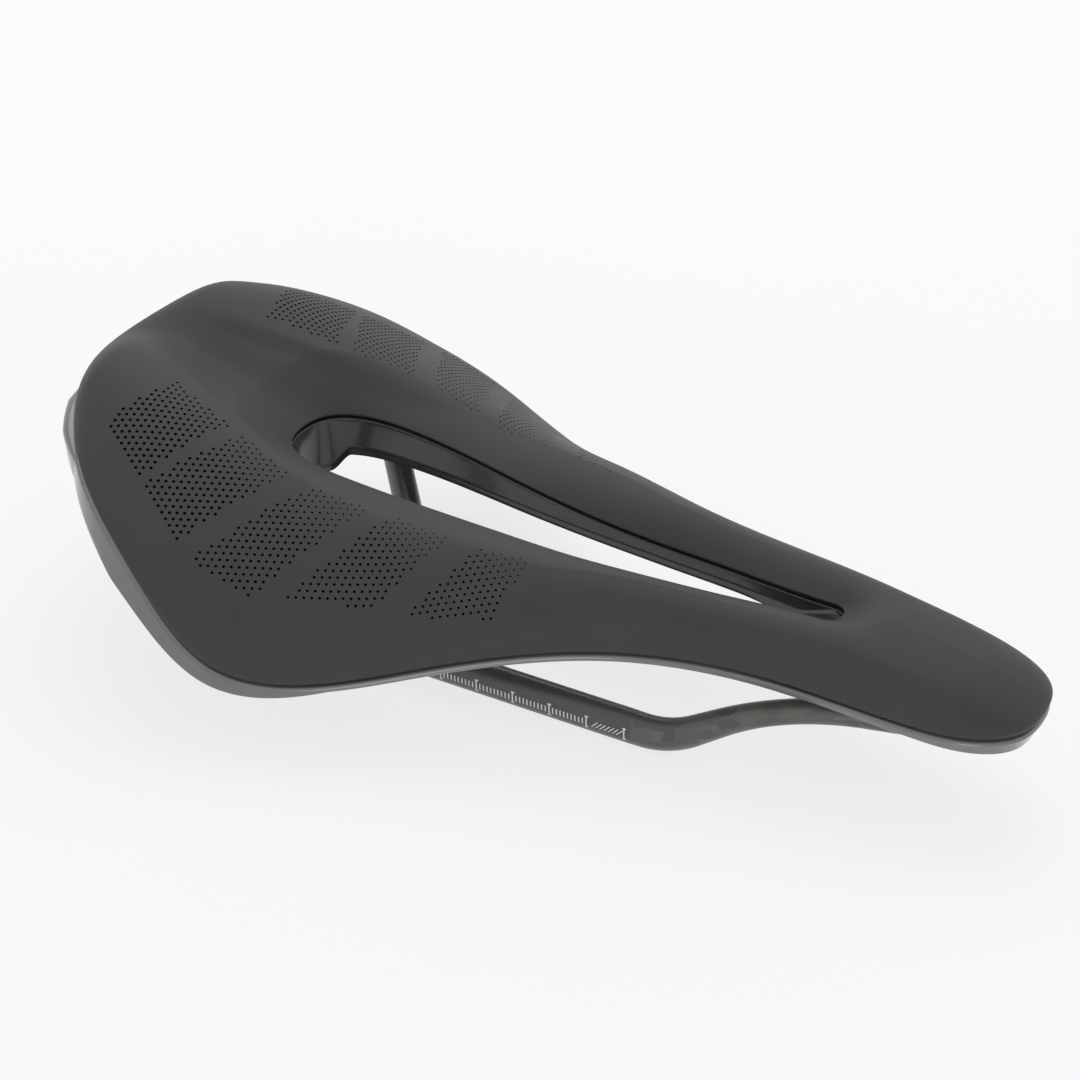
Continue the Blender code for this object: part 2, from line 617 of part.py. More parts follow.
def rail_frame(tangent):
    """Return the level and the upward direction square to a rail's tangent."""
    side = unit(np.cross(UP, tangent))
    return side, np.cross(tangent, side)


def rail_rings(path, grow):
    """Return oval sections along a rail, flat below and lower towards the nose."""
    turn = 2.0 * np.pi * (np.arange(RAIL_SIDES) + 0.5) / RAIL_SIDES - 0.5 * np.pi
    across = 0.5 * RAIL_WIDTH * np.cos(turn)
    upward = 0.5 * RAIL_HEIGHT * np.sin(turn)
    low = np.argsort(upward)[:2]
    across[low] = np.sign(across[low]) * 0.5 * RAIL_FLAT
    upward[low] = -0.5 * RAIL_HEIGHT
    high = np.argsort(upward)[-2:]
    upward[high] = 0.5 * RAIL_HEIGHT
    tangent = unit(np.gradient(path, axis=0))
    side, lift = rail_frame(tangent)
    taper = ease((path[:, 0] - RAIL_TAPER_X) / (RAIL_RAMP_X - RAIL_TAPER_X))
    share = 1.0 + taper * (RAIL_NOSE_HEIGHT / RAIL_HEIGHT - 1.0)
    height = share[:, None] * upward
    across = across + grow * np.sign(across)
    height = height + grow * np.sign(upward)
    return (path[:, None, :] + across[None, :, None] * side[:, None, :]
            + height[..., None] * lift[:, None, :])


def make_rail(name, path, mirror, material):
    """Make one rail; mirror is 1 on the left and -1 on the right."""
    return loft_solid(name, rail_rings(path, 0.0) * (1.0, mirror, 1.0), material)


def make_rail_cutter(name, path, mirror):
    """Make the cutter that leaves room for a rail and its ends."""
    start = path[0] + CLEARANCE * unit(path[0] - path[1])
    end = path[-1] + CLEARANCE * unit(path[-1] - path[-2])
    grown = np.concatenate([[start], path[1:-1], [end]])
    return loft_solid(name, rail_rings(grown, CLEARANCE) * (1.0, mirror, 1.0), None)


def rounded_outline(low, high, half_width, corner):
    """Return a closed outline in a plane, with its two corners at the low end rounded."""
    angles = np.radians(np.linspace(0.0, 90.0, 4))
    along = low + corner * (1.0 - np.sin(angles))
    beside = half_width - corner * (1.0 - np.cos(angles))
    near = np.stack([along, -beside], -1)
    far = np.stack([along[::-1], beside[::-1]], -1)
    ends = np.array([[high, half_width], [high, -half_width]])
    return np.concatenate([near, far, ends])


class RearMount:
    """Socket, cap and screws that hold a rail's rear end, laid out along the rail's last straight run."""

    def __init__(self, surfaces, path, mirror):
        self.mirror = mirror
        self.origin = path[0]
        self.axis = unit(path[0] - path[1])
        side, lift = rail_frame(-self.axis)
        self.side = side
        self.lift = lift
        self.screw_offset = 0.5 * RAIL_WIDTH + 2.0 * CLEARANCE + SOCKET_WALL + 0.5 * SCREW_DIAMETER
        self.half_width = self.screw_offset + 0.5 * SCREW_HEAD_DIAMETER + CLEARANCE + 0.5 * SOCKET_WALL
        self.half_depth = 0.5 * RAIL_HEIGHT + CLEARANCE + SOCKET_WALL
        mouth = self.origin - SOCKET_DEPTH * self.axis
        corners = [mouth + beside * self.half_width * self.side + above * self.half_depth * self.lift
                   for beside in (-1.0, 1.0) for above in (-1.0, 1.0)]
        farthest = max(surfaces.under_distance(corner, self.axis) for corner in corners)
        self.reach = farthest - SOCKET_DEPTH + SOCKET_WALL

    def place(self, along, beside, above):
        """Return world points from places along the rail, beside it and above it."""
        along, beside, above = np.broadcast_arrays(along, beside, above)
        points = (self.origin + along[..., None] * self.axis + beside[..., None] * self.side
                  + above[..., None] * self.lift)
        return points * (1.0, self.mirror, 1.0)

    def make_half(self, name, direction, material):
        """Make the half of the mount above the rail, direction 1, or the cap below it, direction -1."""
        rings = []
        for height, inset in ((0.5 * CLEARANCE, 0.0), (self.half_depth, SOCKET_DRAFT)):
            outline = rounded_outline(-SOCKET_DEPTH + inset, self.reach, self.half_width - inset,
                                      SOCKET_CORNER)
            rings.append(self.place(outline[:, 0], outline[:, 1], direction * height))
        return loft_solid(name, rings, material)

    def screw_rings(self, beside, grow):
        """Return a screw's rings from its drive recess to its end, or those of its grown hole."""
        turn = 2.0 * np.pi * np.arange(SCREW_SIDES) / SCREW_SIDES
        hexagon = 0.5 * SCREW_DRIVE_WIDTH / np.cos((turn + np.pi / 6.0) % (np.pi / 3.0) - np.pi / 6.0)
        head = 0.5 * SCREW_HEAD_DIAMETER + grow
        shank = 0.5 * SCREW_DIAMETER + grow
        top = -self.half_depth
        neck = top + SCREW_HEAD_HEIGHT
        end = neck + SCREW_LENGTH
        if grow > 0.0:
            steps = [(head, top - SOCKET_DEPTH), (head, neck + grow), (shank, neck + grow),
                     (shank, end + grow)]
        else:
            steps = [(hexagon, top + SCREW_DRIVE_DEPTH), (hexagon, top), (head - SOCKET_DRAFT * 0.5, top),
                     (head, top + SOCKET_DRAFT * 0.5), (head, neck), (shank, neck), (shank, end)]
        return [self.place(-0.5 * SOCKET_DEPTH + radius * np.cos(turn), beside + radius * np.sin(turn), above)
                for radius, above in steps]


def make_nose_socket(surfaces, path, material):
    """Make the block under the nose, open below where the rails seat in it."""
    rear = RAIL_NOSE_X - NOSE_SOCKET_LENGTH
    front = RAIL_NOSE_X + NOSE_SOCKET_END_WALL
    rings = []
    for x in (rear, front):
        half = surfaces.rim_inner_half_width(x) - NOSE_SOCKET_MARGIN
        floor = np.interp(x, path[:, 0], path[:, 2])
        roof = CREST_HEIGHT
        corner = NOSE_SOCKET_CORNER
        rings.append([(x, -half, roof), (x, -half, floor + corner), (x, -half + corner, floor),
                      (x, half - corner, floor), (x, half, floor + corner), (x, half, roof)])
    return loft_solid("nose_socket", rings, material)


def build():
    """Build every piece of the saddle."""
    clear_scene()
    cover_skin = make_material("cover_skin", (0.060, 0.062, 0.065), 0.55)
    foam = make_material("foam", (0.30, 0.30, 0.29), 0.9)
    gloss_shell = make_material("gloss_shell", (0.045, 0.045, 0.046), 0.22)
    carbon = make_material("carbon", (0.055, 0.052, 0.048), 0.35)
    moulded = make_material("moulded", (0.035, 0.035, 0.036), 0.5)
    steel = make_material("steel", (0.35, 0.35, 0.36), 0.3, 1.0)

    surfaces = SaddleSurfaces()
    make_cover(surfaces, cover_skin)
    make_foam(surfaces, foam)
    shell = make_shell(surfaces, gloss_shell)
    make_trim(surfaces, gloss_shell)

    shell_cutter = make_shell_cutter(surfaces)
    path = rounded_path(rail_corners(surfaces), (RAIL_REAR_BEND, RAIL_FRONT_BEND, RAIL_RAMP_BEND))
    nose_socket = make_nose_socket(surfaces, path, moulded)
    cut(nose_socket, shell_cutter)
    for label, mirror in (("left", 1.0), ("right", -1.0)):
        make_rail(label + "_rail", path, mirror, carbon)
        rail_cutter = make_rail_cutter(label + "_rail_cutter", path, mirror)
        cut(nose_socket, rail_cutter)
        cut(shell, rail_cutter)
        mount = RearMount(surfaces, path, mirror)
        halves = [mount.make_half("rear_socket_" + label, 1.0, moulded),
                  mount.make_half("rear_cap_" + label, -1.0, moulded)]
        for half in halves:
            cut(half, shell_cutter)
            cut(half, rail_cutter)
        for place, beside in (("inner", -mount.screw_offset), ("outer", mount.screw_offset)):
            title = label + "_" + place
            loft_solid("rear_screw_" + title, mount.screw_rings(beside, 0.0), steel)
            hole = loft_solid("screw_hole_" + title, mount.screw_rings(beside, CLEARANCE), None)
            for half in halves:
                cut(half, hole)


build()
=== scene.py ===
"""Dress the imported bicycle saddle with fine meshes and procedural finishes.

All sizes are in metres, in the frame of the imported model: +X points to the nose, +Y to the left and +Z up.
"""

import logging
import math
from dataclasses import dataclass, field
from enum import Enum

import bmesh
import bpy
import numpy as np
from mathutils import Matrix, Vector
from mathutils.bvhtree import BVHTree


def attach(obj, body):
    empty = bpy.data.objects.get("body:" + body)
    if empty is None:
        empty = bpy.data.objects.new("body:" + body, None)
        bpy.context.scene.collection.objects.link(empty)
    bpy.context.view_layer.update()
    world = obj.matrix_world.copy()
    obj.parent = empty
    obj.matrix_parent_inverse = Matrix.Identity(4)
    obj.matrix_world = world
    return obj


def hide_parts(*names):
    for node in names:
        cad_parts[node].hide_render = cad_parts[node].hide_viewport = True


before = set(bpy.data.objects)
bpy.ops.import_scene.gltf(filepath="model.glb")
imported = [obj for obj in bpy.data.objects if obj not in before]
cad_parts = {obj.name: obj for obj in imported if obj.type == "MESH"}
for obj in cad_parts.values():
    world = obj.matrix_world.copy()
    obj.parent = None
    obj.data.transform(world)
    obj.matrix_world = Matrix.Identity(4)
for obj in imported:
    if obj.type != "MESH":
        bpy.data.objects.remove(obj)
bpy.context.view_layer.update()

Array = np.ndarray
Colour = tuple[float, float, float]

UP = np.array([0.0, 0.0, 1.0])
QUARTER = np.radians([0.0, 30.0, 60.0, 90.0])[None, :, None]
SHARP_ANGLE = 40.0
SOFT_TAPS = 9
PACKED_FINENESS = 1
DRESSED_FINENESS = 10
BODY = "root"
LOG = logging.getLogger("saddle")


class Side(Enum):
    """The two sides of the saddle, each with the sign of its Y."""

    LEFT = 1.0
    RIGHT = -1.0


class Slot(Enum):
    """The record's material slots."""

    COVER_SKIN = "cover_skin"
    GLOSS_SHELL = "gloss_shell"
    CARBON = "carbon"
    MOULDED = "moulded"
    STEEL = "steel"


def unit(vectors: Array) -> Array:
    """Return vectors of length one."""
    return vectors / np.linalg.norm(vectors, axis=-1, keepdims=True)


def ease(value: Array | float) -> Array:
    """Rise smoothly from 0 to 1 while the value goes from 0 to 1."""
    value = np.clip(value, 0.0, 1.0)
    return value * value * (3.0 - 2.0 * value)


def soft_interp(x: Array, stops: tuple, values: tuple, reach: float) -> Array:
    """Interpolate between stops and round the corners at each stop.

    The straight-line interpolation is averaged over places up to the reach before and after x.

    Args:
        x: Places to look up.
        stops: Places where the value is known.
        values: The value at each stop.
        reach: How far a corner is rounded to each side.

    Returns:
        The rounded value at each place.
    """
    taps = np.linspace(-reach, reach, SOFT_TAPS)
    return np.mean([np.interp(x + tap, stops, values) for tap in taps], axis=0)


def arc(angles: Array, reach: float, half_width: float, fullness: float) -> tuple[Array, Array]:
    """Return points on a quarter superellipse.

    Args:
        angles: Angles in degrees, 0 at the end and 90 at the widest place.
        reach: Length of the quarter.
        half_width: Its half-width.
        fullness: Power of the superellipse, 2 for a plain ellipse.

    Returns:
        Distances from the widest place, and half-widths.
    """
    turn = np.radians(angles)
    power = 2.0 / fullness
    return reach * np.cos(turn).clip(0.0) ** power, half_width * np.sin(turn).clip(0.0) ** power


def loop_normals(loop: Array) -> Array:
    """Return level unit normals of a loop that point away from its middle."""
    tangent = np.roll(loop, -1, axis=0) - np.roll(loop, 1, axis=0)
    return unit(np.cross(UP, tangent) * (1.0, 1.0, 0.0))


def sheet_normals(sheet: Array) -> Array:
    """Return upward unit normals of a sheet whose columns run round the cut-out.

    Each is the cross product of the step round the sheet and the step across it.

    Args:
        sheet: Grid of columns by rows.

    Returns:
        A normal for every point.
    """
    around = np.roll(sheet, -1, axis=0) - np.roll(sheet, 1, axis=0)
    across = np.gradient(sheet, axis=1)
    return unit(np.cross(around, across))


def smooth_rows(sheet: Array, steps: int) -> Array:
    """Put a smooth curve through the rows of every column.

    Each stretch between two rows is a cubic whose slope at a row is half the step between its neighbours.

    Args:
        sheet: Grid of columns by rows.
        steps: Steps from one row to the next.

    Returns:
        The grid with the new rows between the old ones.
    """
    slope = np.gradient(sheet, axis=1)[:, :-1, None], np.gradient(sheet, axis=1)[:, 1:, None]
    start, end = sheet[:, :-1, None], sheet[:, 1:, None]
    t = (np.arange(steps) / steps)[None, None, :, None]
    curve = ((2 * t ** 3 - 3 * t ** 2 + 1) * start + (t ** 3 - 2 * t ** 2 + t) * slope[0]
             + (3 * t ** 2 - 2 * t ** 3) * end + (t ** 3 - t ** 2) * slope[1])
    return np.concatenate([curve.reshape(len(sheet), -1, 3), sheet[:, -1:]], axis=1)


def signed_volume(points: Array, quads: Array) -> float:
    """Return the volume that quads enclose, negative when they face inwards.

    It adds up the tetrahedra between the origin and the two triangles of every quad.

    Args:
        points: Vertices.
        quads: Vertex numbers of each quad.

    Returns:
        The volume.
    """
    a, b, c, d = (points[quads[:, k]] for k in range(4))
    return float(np.einsum("ij,ij->i", a, np.cross(b, c)).sum()
                 + np.einsum("ij,ij->i", a, np.cross(c, d)).sum()) / 6.0


def add_mesh(name: str, points: Array, faces: Array | list,
             sharp_angle: float = SHARP_ANGLE) -> bpy.types.Object:
    """Make an object from points and faces.

    Args:
        name: Name of the piece.
        points: Vertices, in any grid shape.
        faces: Vertex numbers of each face, all quads in an array or mixed in a list.
        sharp_angle: Edges that bend more than this many degrees stay sharp.

    Returns:
        The new object, with its place in its mesh.
    """
    points = np.asarray(points, dtype=float).reshape(-1, 3)
    if isinstance(faces, np.ndarray):
        if signed_volume(points, faces) < 0.0:
            faces = faces[:, ::-1]
        faces = faces.tolist()
    mesh = bpy.data.meshes.new(name)
    mesh.from_pydata(points.tolist(), [], faces)
    mesh.validate()
    mesh.shade_smooth()
    mesh.set_sharp_from_angle(angle=math.radians(sharp_angle))
    item = bpy.data.objects.new(name, mesh)
    bpy.context.collection.objects.link(item)
    return item


def ring_quads(columns: int, rows: int) -> Array:
    """Return the quads of a grid that closes both round its columns and round its rows.

    Args:
        columns: Number of columns.
        rows: Points in each column, which follow one another.

    Returns:
        Vertex numbers of each quad.
    """
    column = np.arange(columns)[:, None]
    row = np.arange(rows)[None, :]
    next_column, next_row = (column + 1) % columns, (row + 1) % rows
    corners = np.broadcast_arrays(column * rows + row, next_column * rows + row,
                                  next_column * rows + next_row, column * rows + next_row)
    return np.stack(corners, -1).reshape(-1, 4)


def bake_modifiers(item: bpy.types.Object) -> None:
    """Put the result of an object's modifiers into its mesh and remove them.

    Args:
        item: The object.
    """
    graph = bpy.context.evaluated_depsgraph_get()
    mesh = bpy.data.meshes.new_from_object(item.evaluated_get(graph))
    mesh.name = item.name
    item.modifiers.clear()
    item.data = mesh


def carve(item: bpy.types.Object, cutter: bpy.types.Object) -> None:
    """Cut one object with another and remove the cutter.

    Args:
        item: The object that is cut.
        cutter: The object whose volume is taken away.
    """
    boolean = item.modifiers.new("carve", "BOOLEAN")
    boolean.operation = "DIFFERENCE"
    boolean.solver = "MANIFOLD"
    boolean.object = cutter
    bake_modifiers(item)
    bpy.data.objects.remove(cutter, do_unlink=True)


@dataclass(frozen=True)
class SaddleForm:
    """Sizes of the seam, the cut-out, the deck and the layers below it."""

    clearance: float = 0.0003
    tail: tuple = (-0.118, 0.0546)
    tail_fullness: float = 1.91
    wing: tuple = (-0.048, 0.069, 0.0211)
    flank: tuple = (0.001, 0.047, 0.0228)
    waist: tuple = (0.039, 0.0265, 0.0271)
    throat: tuple = (0.072, 0.0207, 0.0282)
    nose: tuple = (0.105, 0.018, 0.0254)
    nose_fullness: float = 2.6
    tip: tuple = (0.1317, 0.0258)
    cutout_rear_x: float = -0.0645
    cutout_rear_fullness: float = 2.6
    cutout_wide_x: float = -0.042
    cutout_half_width: float = 0.0139
    cutout_front_x: float = 0.0823
    cutout_front_half_width: float = 0.0037
    cutout_front_round: float = 0.005
    cutout_rear_height: float = 0.0439
    cutout_front_height: float = 0.0356
    cutout_level_x: float = 0.033
    crest_height: float = 0.0449
    tail_rise: float = 0.0270
    tail_rise_x: float = -0.015
    tail_rise_power: float = 1.27
    waist_drop: float = 0.0036
    waist_drop_x: float = -0.0055
    waist_drop_length: float = 0.086
    nose_drop: float = 0.0097
    nose_drop_x: float = 0.0712
    pad_rear_x: float = -0.025
    pad_offsets: tuple = (0.0284, 0.0156, 0.0141, 0.0081)
    pad_softness: float = 0.008
    side_falls: tuple = (0.0190, 0.0372, 0.0251)
    fall_reach: float = 0.040
    fall_power: float = 1.3
    channel_depth: float = 0.0056
    channel_power: float = 2.4
    channel_round: float = 0.006
    channel_end_x: float = 0.094
    channel_end_length: float = 0.016
    tail_flat_x: float = -0.104
    tail_flat_length: float = 0.016
    tail_flat_drop: float = 0.0060
    ridge_stops: tuple = (-0.098, -0.082, -0.066, -0.050, -0.020)
    ridge_offsets: tuple = (0.0095, 0.0150, 0.0180, 0.0210, 0.0240)
    ridge_width: float = 0.0055
    ridge_height: float = 0.0013
    ridge_start_x: float = -0.106
    ridge_end_x: float = -0.028
    ridge_fade: float = 0.020
    outer_rolls: tuple = (0.0230, 0.0126, 0.0117, 0.0190)
    inner_roll_stops: tuple = (0.030, 0.080)
    inner_rolls: tuple = (0.0139, 0.0190)
    inner_roll_fullness: float = 1.05
    roll_share: float = 0.96
    bulges: tuple = (0.0005, 0.0010, 0.0016)
    corner_rounding: float = 0.012
    foam_depth: float = 0.012
    foam_nose_depth: float = 0.0085
    shell_wall: float = 0.0022
    shell_crown_power: float = 0.7
    rim_stops: tuple = (-0.118, -0.075, -0.048, -0.020, 0.039, 0.105, 0.1317)
    rim_heights: tuple = (0.0062, 0.0066, 0.0046, 0.0023, 0.0023, 0.0029, 0.0048)
    rim_flare_stops: tuple = (-0.118, -0.112, -0.106, -0.098, -0.075, -0.020, 0.105, 0.1317)
    rim_flares: tuple = (0.0025, 0.0034, 0.0028, 0.0012, 0.0027, -0.0008, -0.0008, -0.0016)
    rim_ledges: tuple = (0.0006, 0.0034, 0.0030, 0.0006, 0.0005, -0.0002, -0.0002, -0.0004)
    rim_ledge_share: float = 0.22
    rim_wall: float = 0.0020
    liner_wall: float = 0.0016
    tail_angles: tuple = (0.0, 25.0, 50.0, 72.0)
    cutout_rear_angles: tuple = (0.0, 30.0, 56.0, 76.0)
    nose_angles: tuple = (90.0, 52.0, 26.0, 0.0)
    columns_per_span: tuple = (3, 3, 2, 2, 4, 3, 3, 2, 2, 2, 2)
    shell_ledge: float = 0.10
    shell_steps: tuple = (1.0, 0.84, 0.66, 0.46, 0.26, 0.10, 0.0)

    def seam_stations(self) -> Array:
        """Return the seam's stations on the left side, from the tail to the tip of the nose.

        Tail and nose are quarter superellipses. The tail rises by a sine of the way back from the wing, and
        the nose by the square of the way to its tip.

        Returns:
            The stations, each a place along, across and up.
        """
        length = self.wing[0] - self.tail[0]
        back, tail_y = arc(self.tail_angles, length, self.wing[1], self.tail_fullness)
        tail_z = self.wing[2] + (self.tail[1] - self.wing[2]) * np.sin(0.5 * np.pi * back / length)
        reach = self.tip[0] - self.nose[0]
        forward, nose_y = arc(self.nose_angles, reach, self.nose[1], self.nose_fullness)
        nose_z = self.nose[2] + (self.tip[1] - self.nose[2]) * (forward / reach) ** 2
        tail = np.stack([self.wing[0] - back, tail_y, tail_z], -1)
        nose = np.stack([self.nose[0] + forward, nose_y, nose_z], -1)
        return np.concatenate([tail, [self.wing, self.flank, self.waist, self.throat], nose])

    def cutout_level(self, x: Array) -> Array:
        """Return how far a place lies from the level front part of the cut-out, 0, to its rear end, 1."""
        return ease((self.cutout_level_x - x) / (self.cutout_level_x - self.cutout_rear_x))

    def cutout_stations(self, seam: Array) -> Array:
        """Return the cut-out's stations, each opposite the seam's station of the same number.

        Both ends are quarter superellipses, and between them the half-width tapers evenly.

        Args:
            seam: The seam's stations.

        Returns:
            The cut-out's stations on the left side.
        """
        shoulder_x = self.cutout_front_x - self.cutout_front_round
        back, rear_y = arc(self.cutout_rear_angles, self.cutout_wide_x - self.cutout_rear_x,
                           self.cutout_half_width, self.cutout_rear_fullness)
        forward, front_y = arc(self.nose_angles, self.cutout_front_round, self.cutout_front_half_width,
                               self.nose_fullness)
        sides = seam[len(self.tail_angles):len(seam) - len(self.nose_angles)]
        share = (sides[:, 0] - self.wing[0]) / (self.nose[0] - self.wing[0])
        taper_x = self.cutout_wide_x + (shoulder_x - self.cutout_wide_x) * share
        taper_y = self.cutout_half_width + (self.cutout_front_half_width - self.cutout_half_width) * share
        x = np.concatenate([self.cutout_wide_x - back, taper_x, shoulder_x + forward])
        y = np.concatenate([rear_y, taper_y, front_y])
        rise = self.cutout_rear_height - self.cutout_front_height
        z = self.cutout_front_height + rise * self.cutout_level(x)
        return np.stack([x, y, z], -1)

    def deck_height(self, x: Array, y: Array) -> Array:
        """Return the height of the deck over a place, before its edges roll down.

        A crest line rises to the tail and drops to the nose. Beyond the pads the deck falls to both sides by
        a power of the distance, and between them a rounded channel lies lower.

        Args:
            x: Places along the saddle.
            y: Places across it.

        Returns:
            Heights over those places.
        """
        tail = np.clip((self.tail_rise_x - x) / (self.tail_rise_x - self.tail[0]), 0.0, None)
        nose = np.clip((x - self.nose_drop_x) / (self.tip[0] - self.nose_drop_x), 0.0, None)
        step = ease((x - self.waist_drop_x) / self.waist_drop_length)
        flat = ease((self.tail_flat_x - x) / self.tail_flat_length)
        crest = (self.crest_height + self.tail_rise * tail ** self.tail_rise_power - self.waist_drop * step
                 - self.nose_drop * nose ** 2 - self.tail_flat_drop * flat)
        rounding = self.corner_rounding
        stops = (self.pad_rear_x, self.waist[0], self.throat[0], self.nose[0])
        pad = soft_interp(x, stops, self.pad_offsets, rounding)
        beyond = np.abs(y) - pad
        outside = 0.5 * (beyond + np.hypot(beyond, self.pad_softness))
        drop = soft_interp(x, (self.wing[0], self.flank[0], self.waist[0]), self.side_falls, rounding)
        fall = drop * (outside / self.fall_reach) ** self.fall_power
        fade = ease((self.channel_end_x - x) / self.channel_end_length) * (1.0 - flat)
        bow = np.hypot(y, self.channel_round) - self.channel_round
        full = np.hypot(pad, self.channel_round) - self.channel_round
        channel = self.channel_depth * fade * (1.0 - bow / full).clip(0.0) ** self.channel_power
        return crest - fall - channel

    def ridge_drop(self, x: Array, y: Array) -> Array:
        """Return how much lower the deck lies inside the soft ridge line along each pad.

        A smooth step across the ridge line fades in and out along it.

        Args:
            x: Places along the saddle.
            y: Places across it.

        Returns:
            Drops at those places.
        """
        offset = soft_interp(x, self.ridge_stops, self.ridge_offsets, self.corner_rounding)
        inside = ease(0.5 - (np.abs(y) - offset) / self.ridge_width)
        start = ease((x - self.ridge_start_x) / self.ridge_fade)
        end = ease((self.ridge_end_x - x) / self.ridge_fade)
        return self.ridge_height * inside * (start * end)


class SaddleSheets:
    """Sheets of the saddle's layers, each a grid of columns round the cut-out by rows from it outwards."""

    def __init__(self, form: SaddleForm, fineness: int) -> None:
        """Lay out the loops and the shell.

        Args:
            form: Sizes of the saddle.
            fineness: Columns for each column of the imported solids.
        """
        self.form = form
        self.spans = tuple(count * fineness for count in form.columns_per_span)
        seam = form.seam_stations()
        self.outer = self.closed_curve(seam)
        self.inner = self.closed_curve(form.cutout_stations(seam))
        across = (self.outer - self.inner) * (1.0, 1.0, 0.0)
        self.span = np.linalg.norm(across, axis=1)
        self.outward = across / self.span[:, None]
        self.outer_normal = loop_normals(self.outer)
        self.inner_normal = loop_normals(self.inner)
        self.shell_top = self.make_shell_top()
        normal = sheet_normals(self.shell_top)
        normal[:, [0, -1]] = UP
        self.shell_normal = normal
        self.shell_under = self.shell_top - form.shell_wall * normal
        self.rim_ledge, self.rim_outer, self.rim_inner = self.make_rim()

    def closed_curve(self, stations: Array) -> Array:
        """Return points on a smooth closed curve through the stations and their mirror images.

        The curve is a periodic cubic spline over chord length, with second derivatives that keep the
        curvature continuous at every station.

        Args:
            stations: Stations on the left side.

        Returns:
            Points round the whole loop.
        """
        knots = np.concatenate([stations, stations[-2:0:-1] * (1.0, -1.0, 1.0)])
        count = len(knots)
        following = np.roll(knots, -1, axis=0)
        step = np.linalg.norm(following - knots, axis=1)
        slope = (following - knots) / step[:, None]
        system = np.diag(2.0 * (step + np.roll(step, 1)))
        index = np.arange(count)
        system[index, (index + 1) % count] += step
        system[index, (index - 1) % count] += np.roll(step, 1)
        bend = np.linalg.solve(system, 6.0 * (slope - np.roll(slope, 1, axis=0)))
        spans = self.spans + self.spans[::-1]
        span = np.repeat(index, spans)
        part = np.concatenate([np.arange(steps) / steps for steps in spans])[:, None]
        sag = ((part ** 3 - part) * np.roll(bend, -1, axis=0)[span]
               + ((1.0 - part) ** 3 - (1.0 - part)) * bend[span])
        return (1.0 - part) * knots[span] + part * following[span] + sag * step[span][:, None] ** 2 / 6.0

    def cover_top(self, inner_steps: Array, deck_steps: Array, outer_angles: Array, lift: float) -> Array:
        """Return the cover's outer sheet: a deck that rolls down into the cut-out and over the seam.

        Along each column the distance from the cut-out runs through an inner roll whose drop is a power
        curve, the deck, and an outer roll that is a quarter ellipse with a slight swell.

        Args:
            inner_steps: Shares of the inner roll, 1 at the cut-out's edge.
            deck_steps: Shares of the deck between the rolls.
            outer_angles: Angles of the outer roll in degrees, 90 at the seam.
            lift: How far both edges lie above the loops.

        Returns:
            The sheet.
        """
        form, x, rounding = self.form, self.outer[:, 0], self.form.corner_rounding
        stops = (form.tail[0], form.wing[0], form.waist[0], form.nose[0])
        outer_roll = soft_interp(x, stops, form.outer_rolls, rounding)
        bulge = soft_interp(x, (stops[0], stops[1], stops[3]), form.bulges, rounding)
        inner_roll = soft_interp(self.inner[:, 0], form.inner_roll_stops, form.inner_rolls, rounding)
        fit = np.minimum(1.0, form.roll_share * self.span / (outer_roll + inner_roll))
        outer_roll = (outer_roll * fit)[:, None]
        inner_roll = (inner_roll * fit)[:, None]
        span = self.span[:, None]
        fullness = form.inner_roll_fullness
        inner_fall = 1.0 - (1.0 - inner_steps ** fullness) ** (1.0 / fullness)
        turn = np.radians(outer_angles)
        deck = inner_roll + deck_steps * (span - inner_roll - outer_roll)
        distance = np.concatenate([inner_roll * (1.0 - inner_steps), deck,
                                   span - outer_roll * (1.0 - np.sin(turn))], axis=1)
        flat = np.zeros(len(deck_steps))
        inner_drop = np.concatenate([inner_fall, flat, 0.0 * turn])
        outer_drop = np.concatenate([0.0 * inner_fall, flat, 1.0 - np.cos(turn)])
        swell = np.concatenate([0.0 * inner_fall, flat, np.sin(2.0 * turn)])
        sheet = self.inner[:, None, :] + distance[..., None] * self.outward[:, None, :]
        inner_height = form.deck_height(*self.inner[:, :2].T) - self.inner[:, 2] - lift
        outer_height = form.deck_height(*self.outer[:, :2].T) - self.outer[:, 2] - lift
        level = form.deck_height(sheet[..., 0], sheet[..., 1])
        away = (1.0 - inner_drop) * (1.0 - outer_drop)
        sheet[..., 2] = (level - inner_drop * inner_height[:, None] - outer_drop * outer_height[:, None]
                         - away * form.ridge_drop(sheet[..., 0], sheet[..., 1]))
        return sheet + (swell * bulge[:, None])[..., None] * self.outward[:, None, :]

    def make_shell_top(self) -> Array:
        """Return the shell's upper sheet, which bows up under the padding between the liner and the seam.

        Each column is a straight line from the liner to the seam, raised by a power of a sine towards a floor
        that lies the foam's depth under the deck.

        Returns:
            The sheet.
        """
        form = self.form
        inside = self.inner + (form.liner_wall + form.clearance) * self.inner_normal
        steps = np.array(form.shell_steps)
        step = steps[None, :, None]
        sheet = step * inside[:, None, :] + (1.0 - step) * self.outer[:, None, :]
        above = (steps[None, :] - form.shell_ledge).clip(0.0) / (1.0 - form.shell_ledge)
        base = above * inside[:, None, 2] + (1.0 - above) * self.outer[:, None, 2] - form.clearance
        depths = (form.foam_depth, form.foam_nose_depth)
        depth = np.interp(sheet[..., 0], (form.waist[0], form.nose[0]), depths)
        floor = form.deck_height(sheet[..., 0], sheet[..., 1]) - depth
        crown = np.sin(np.pi * above).clip(0.0) ** form.shell_crown_power
        sheet[..., 2] = base + crown * (floor - base)
        return sheet

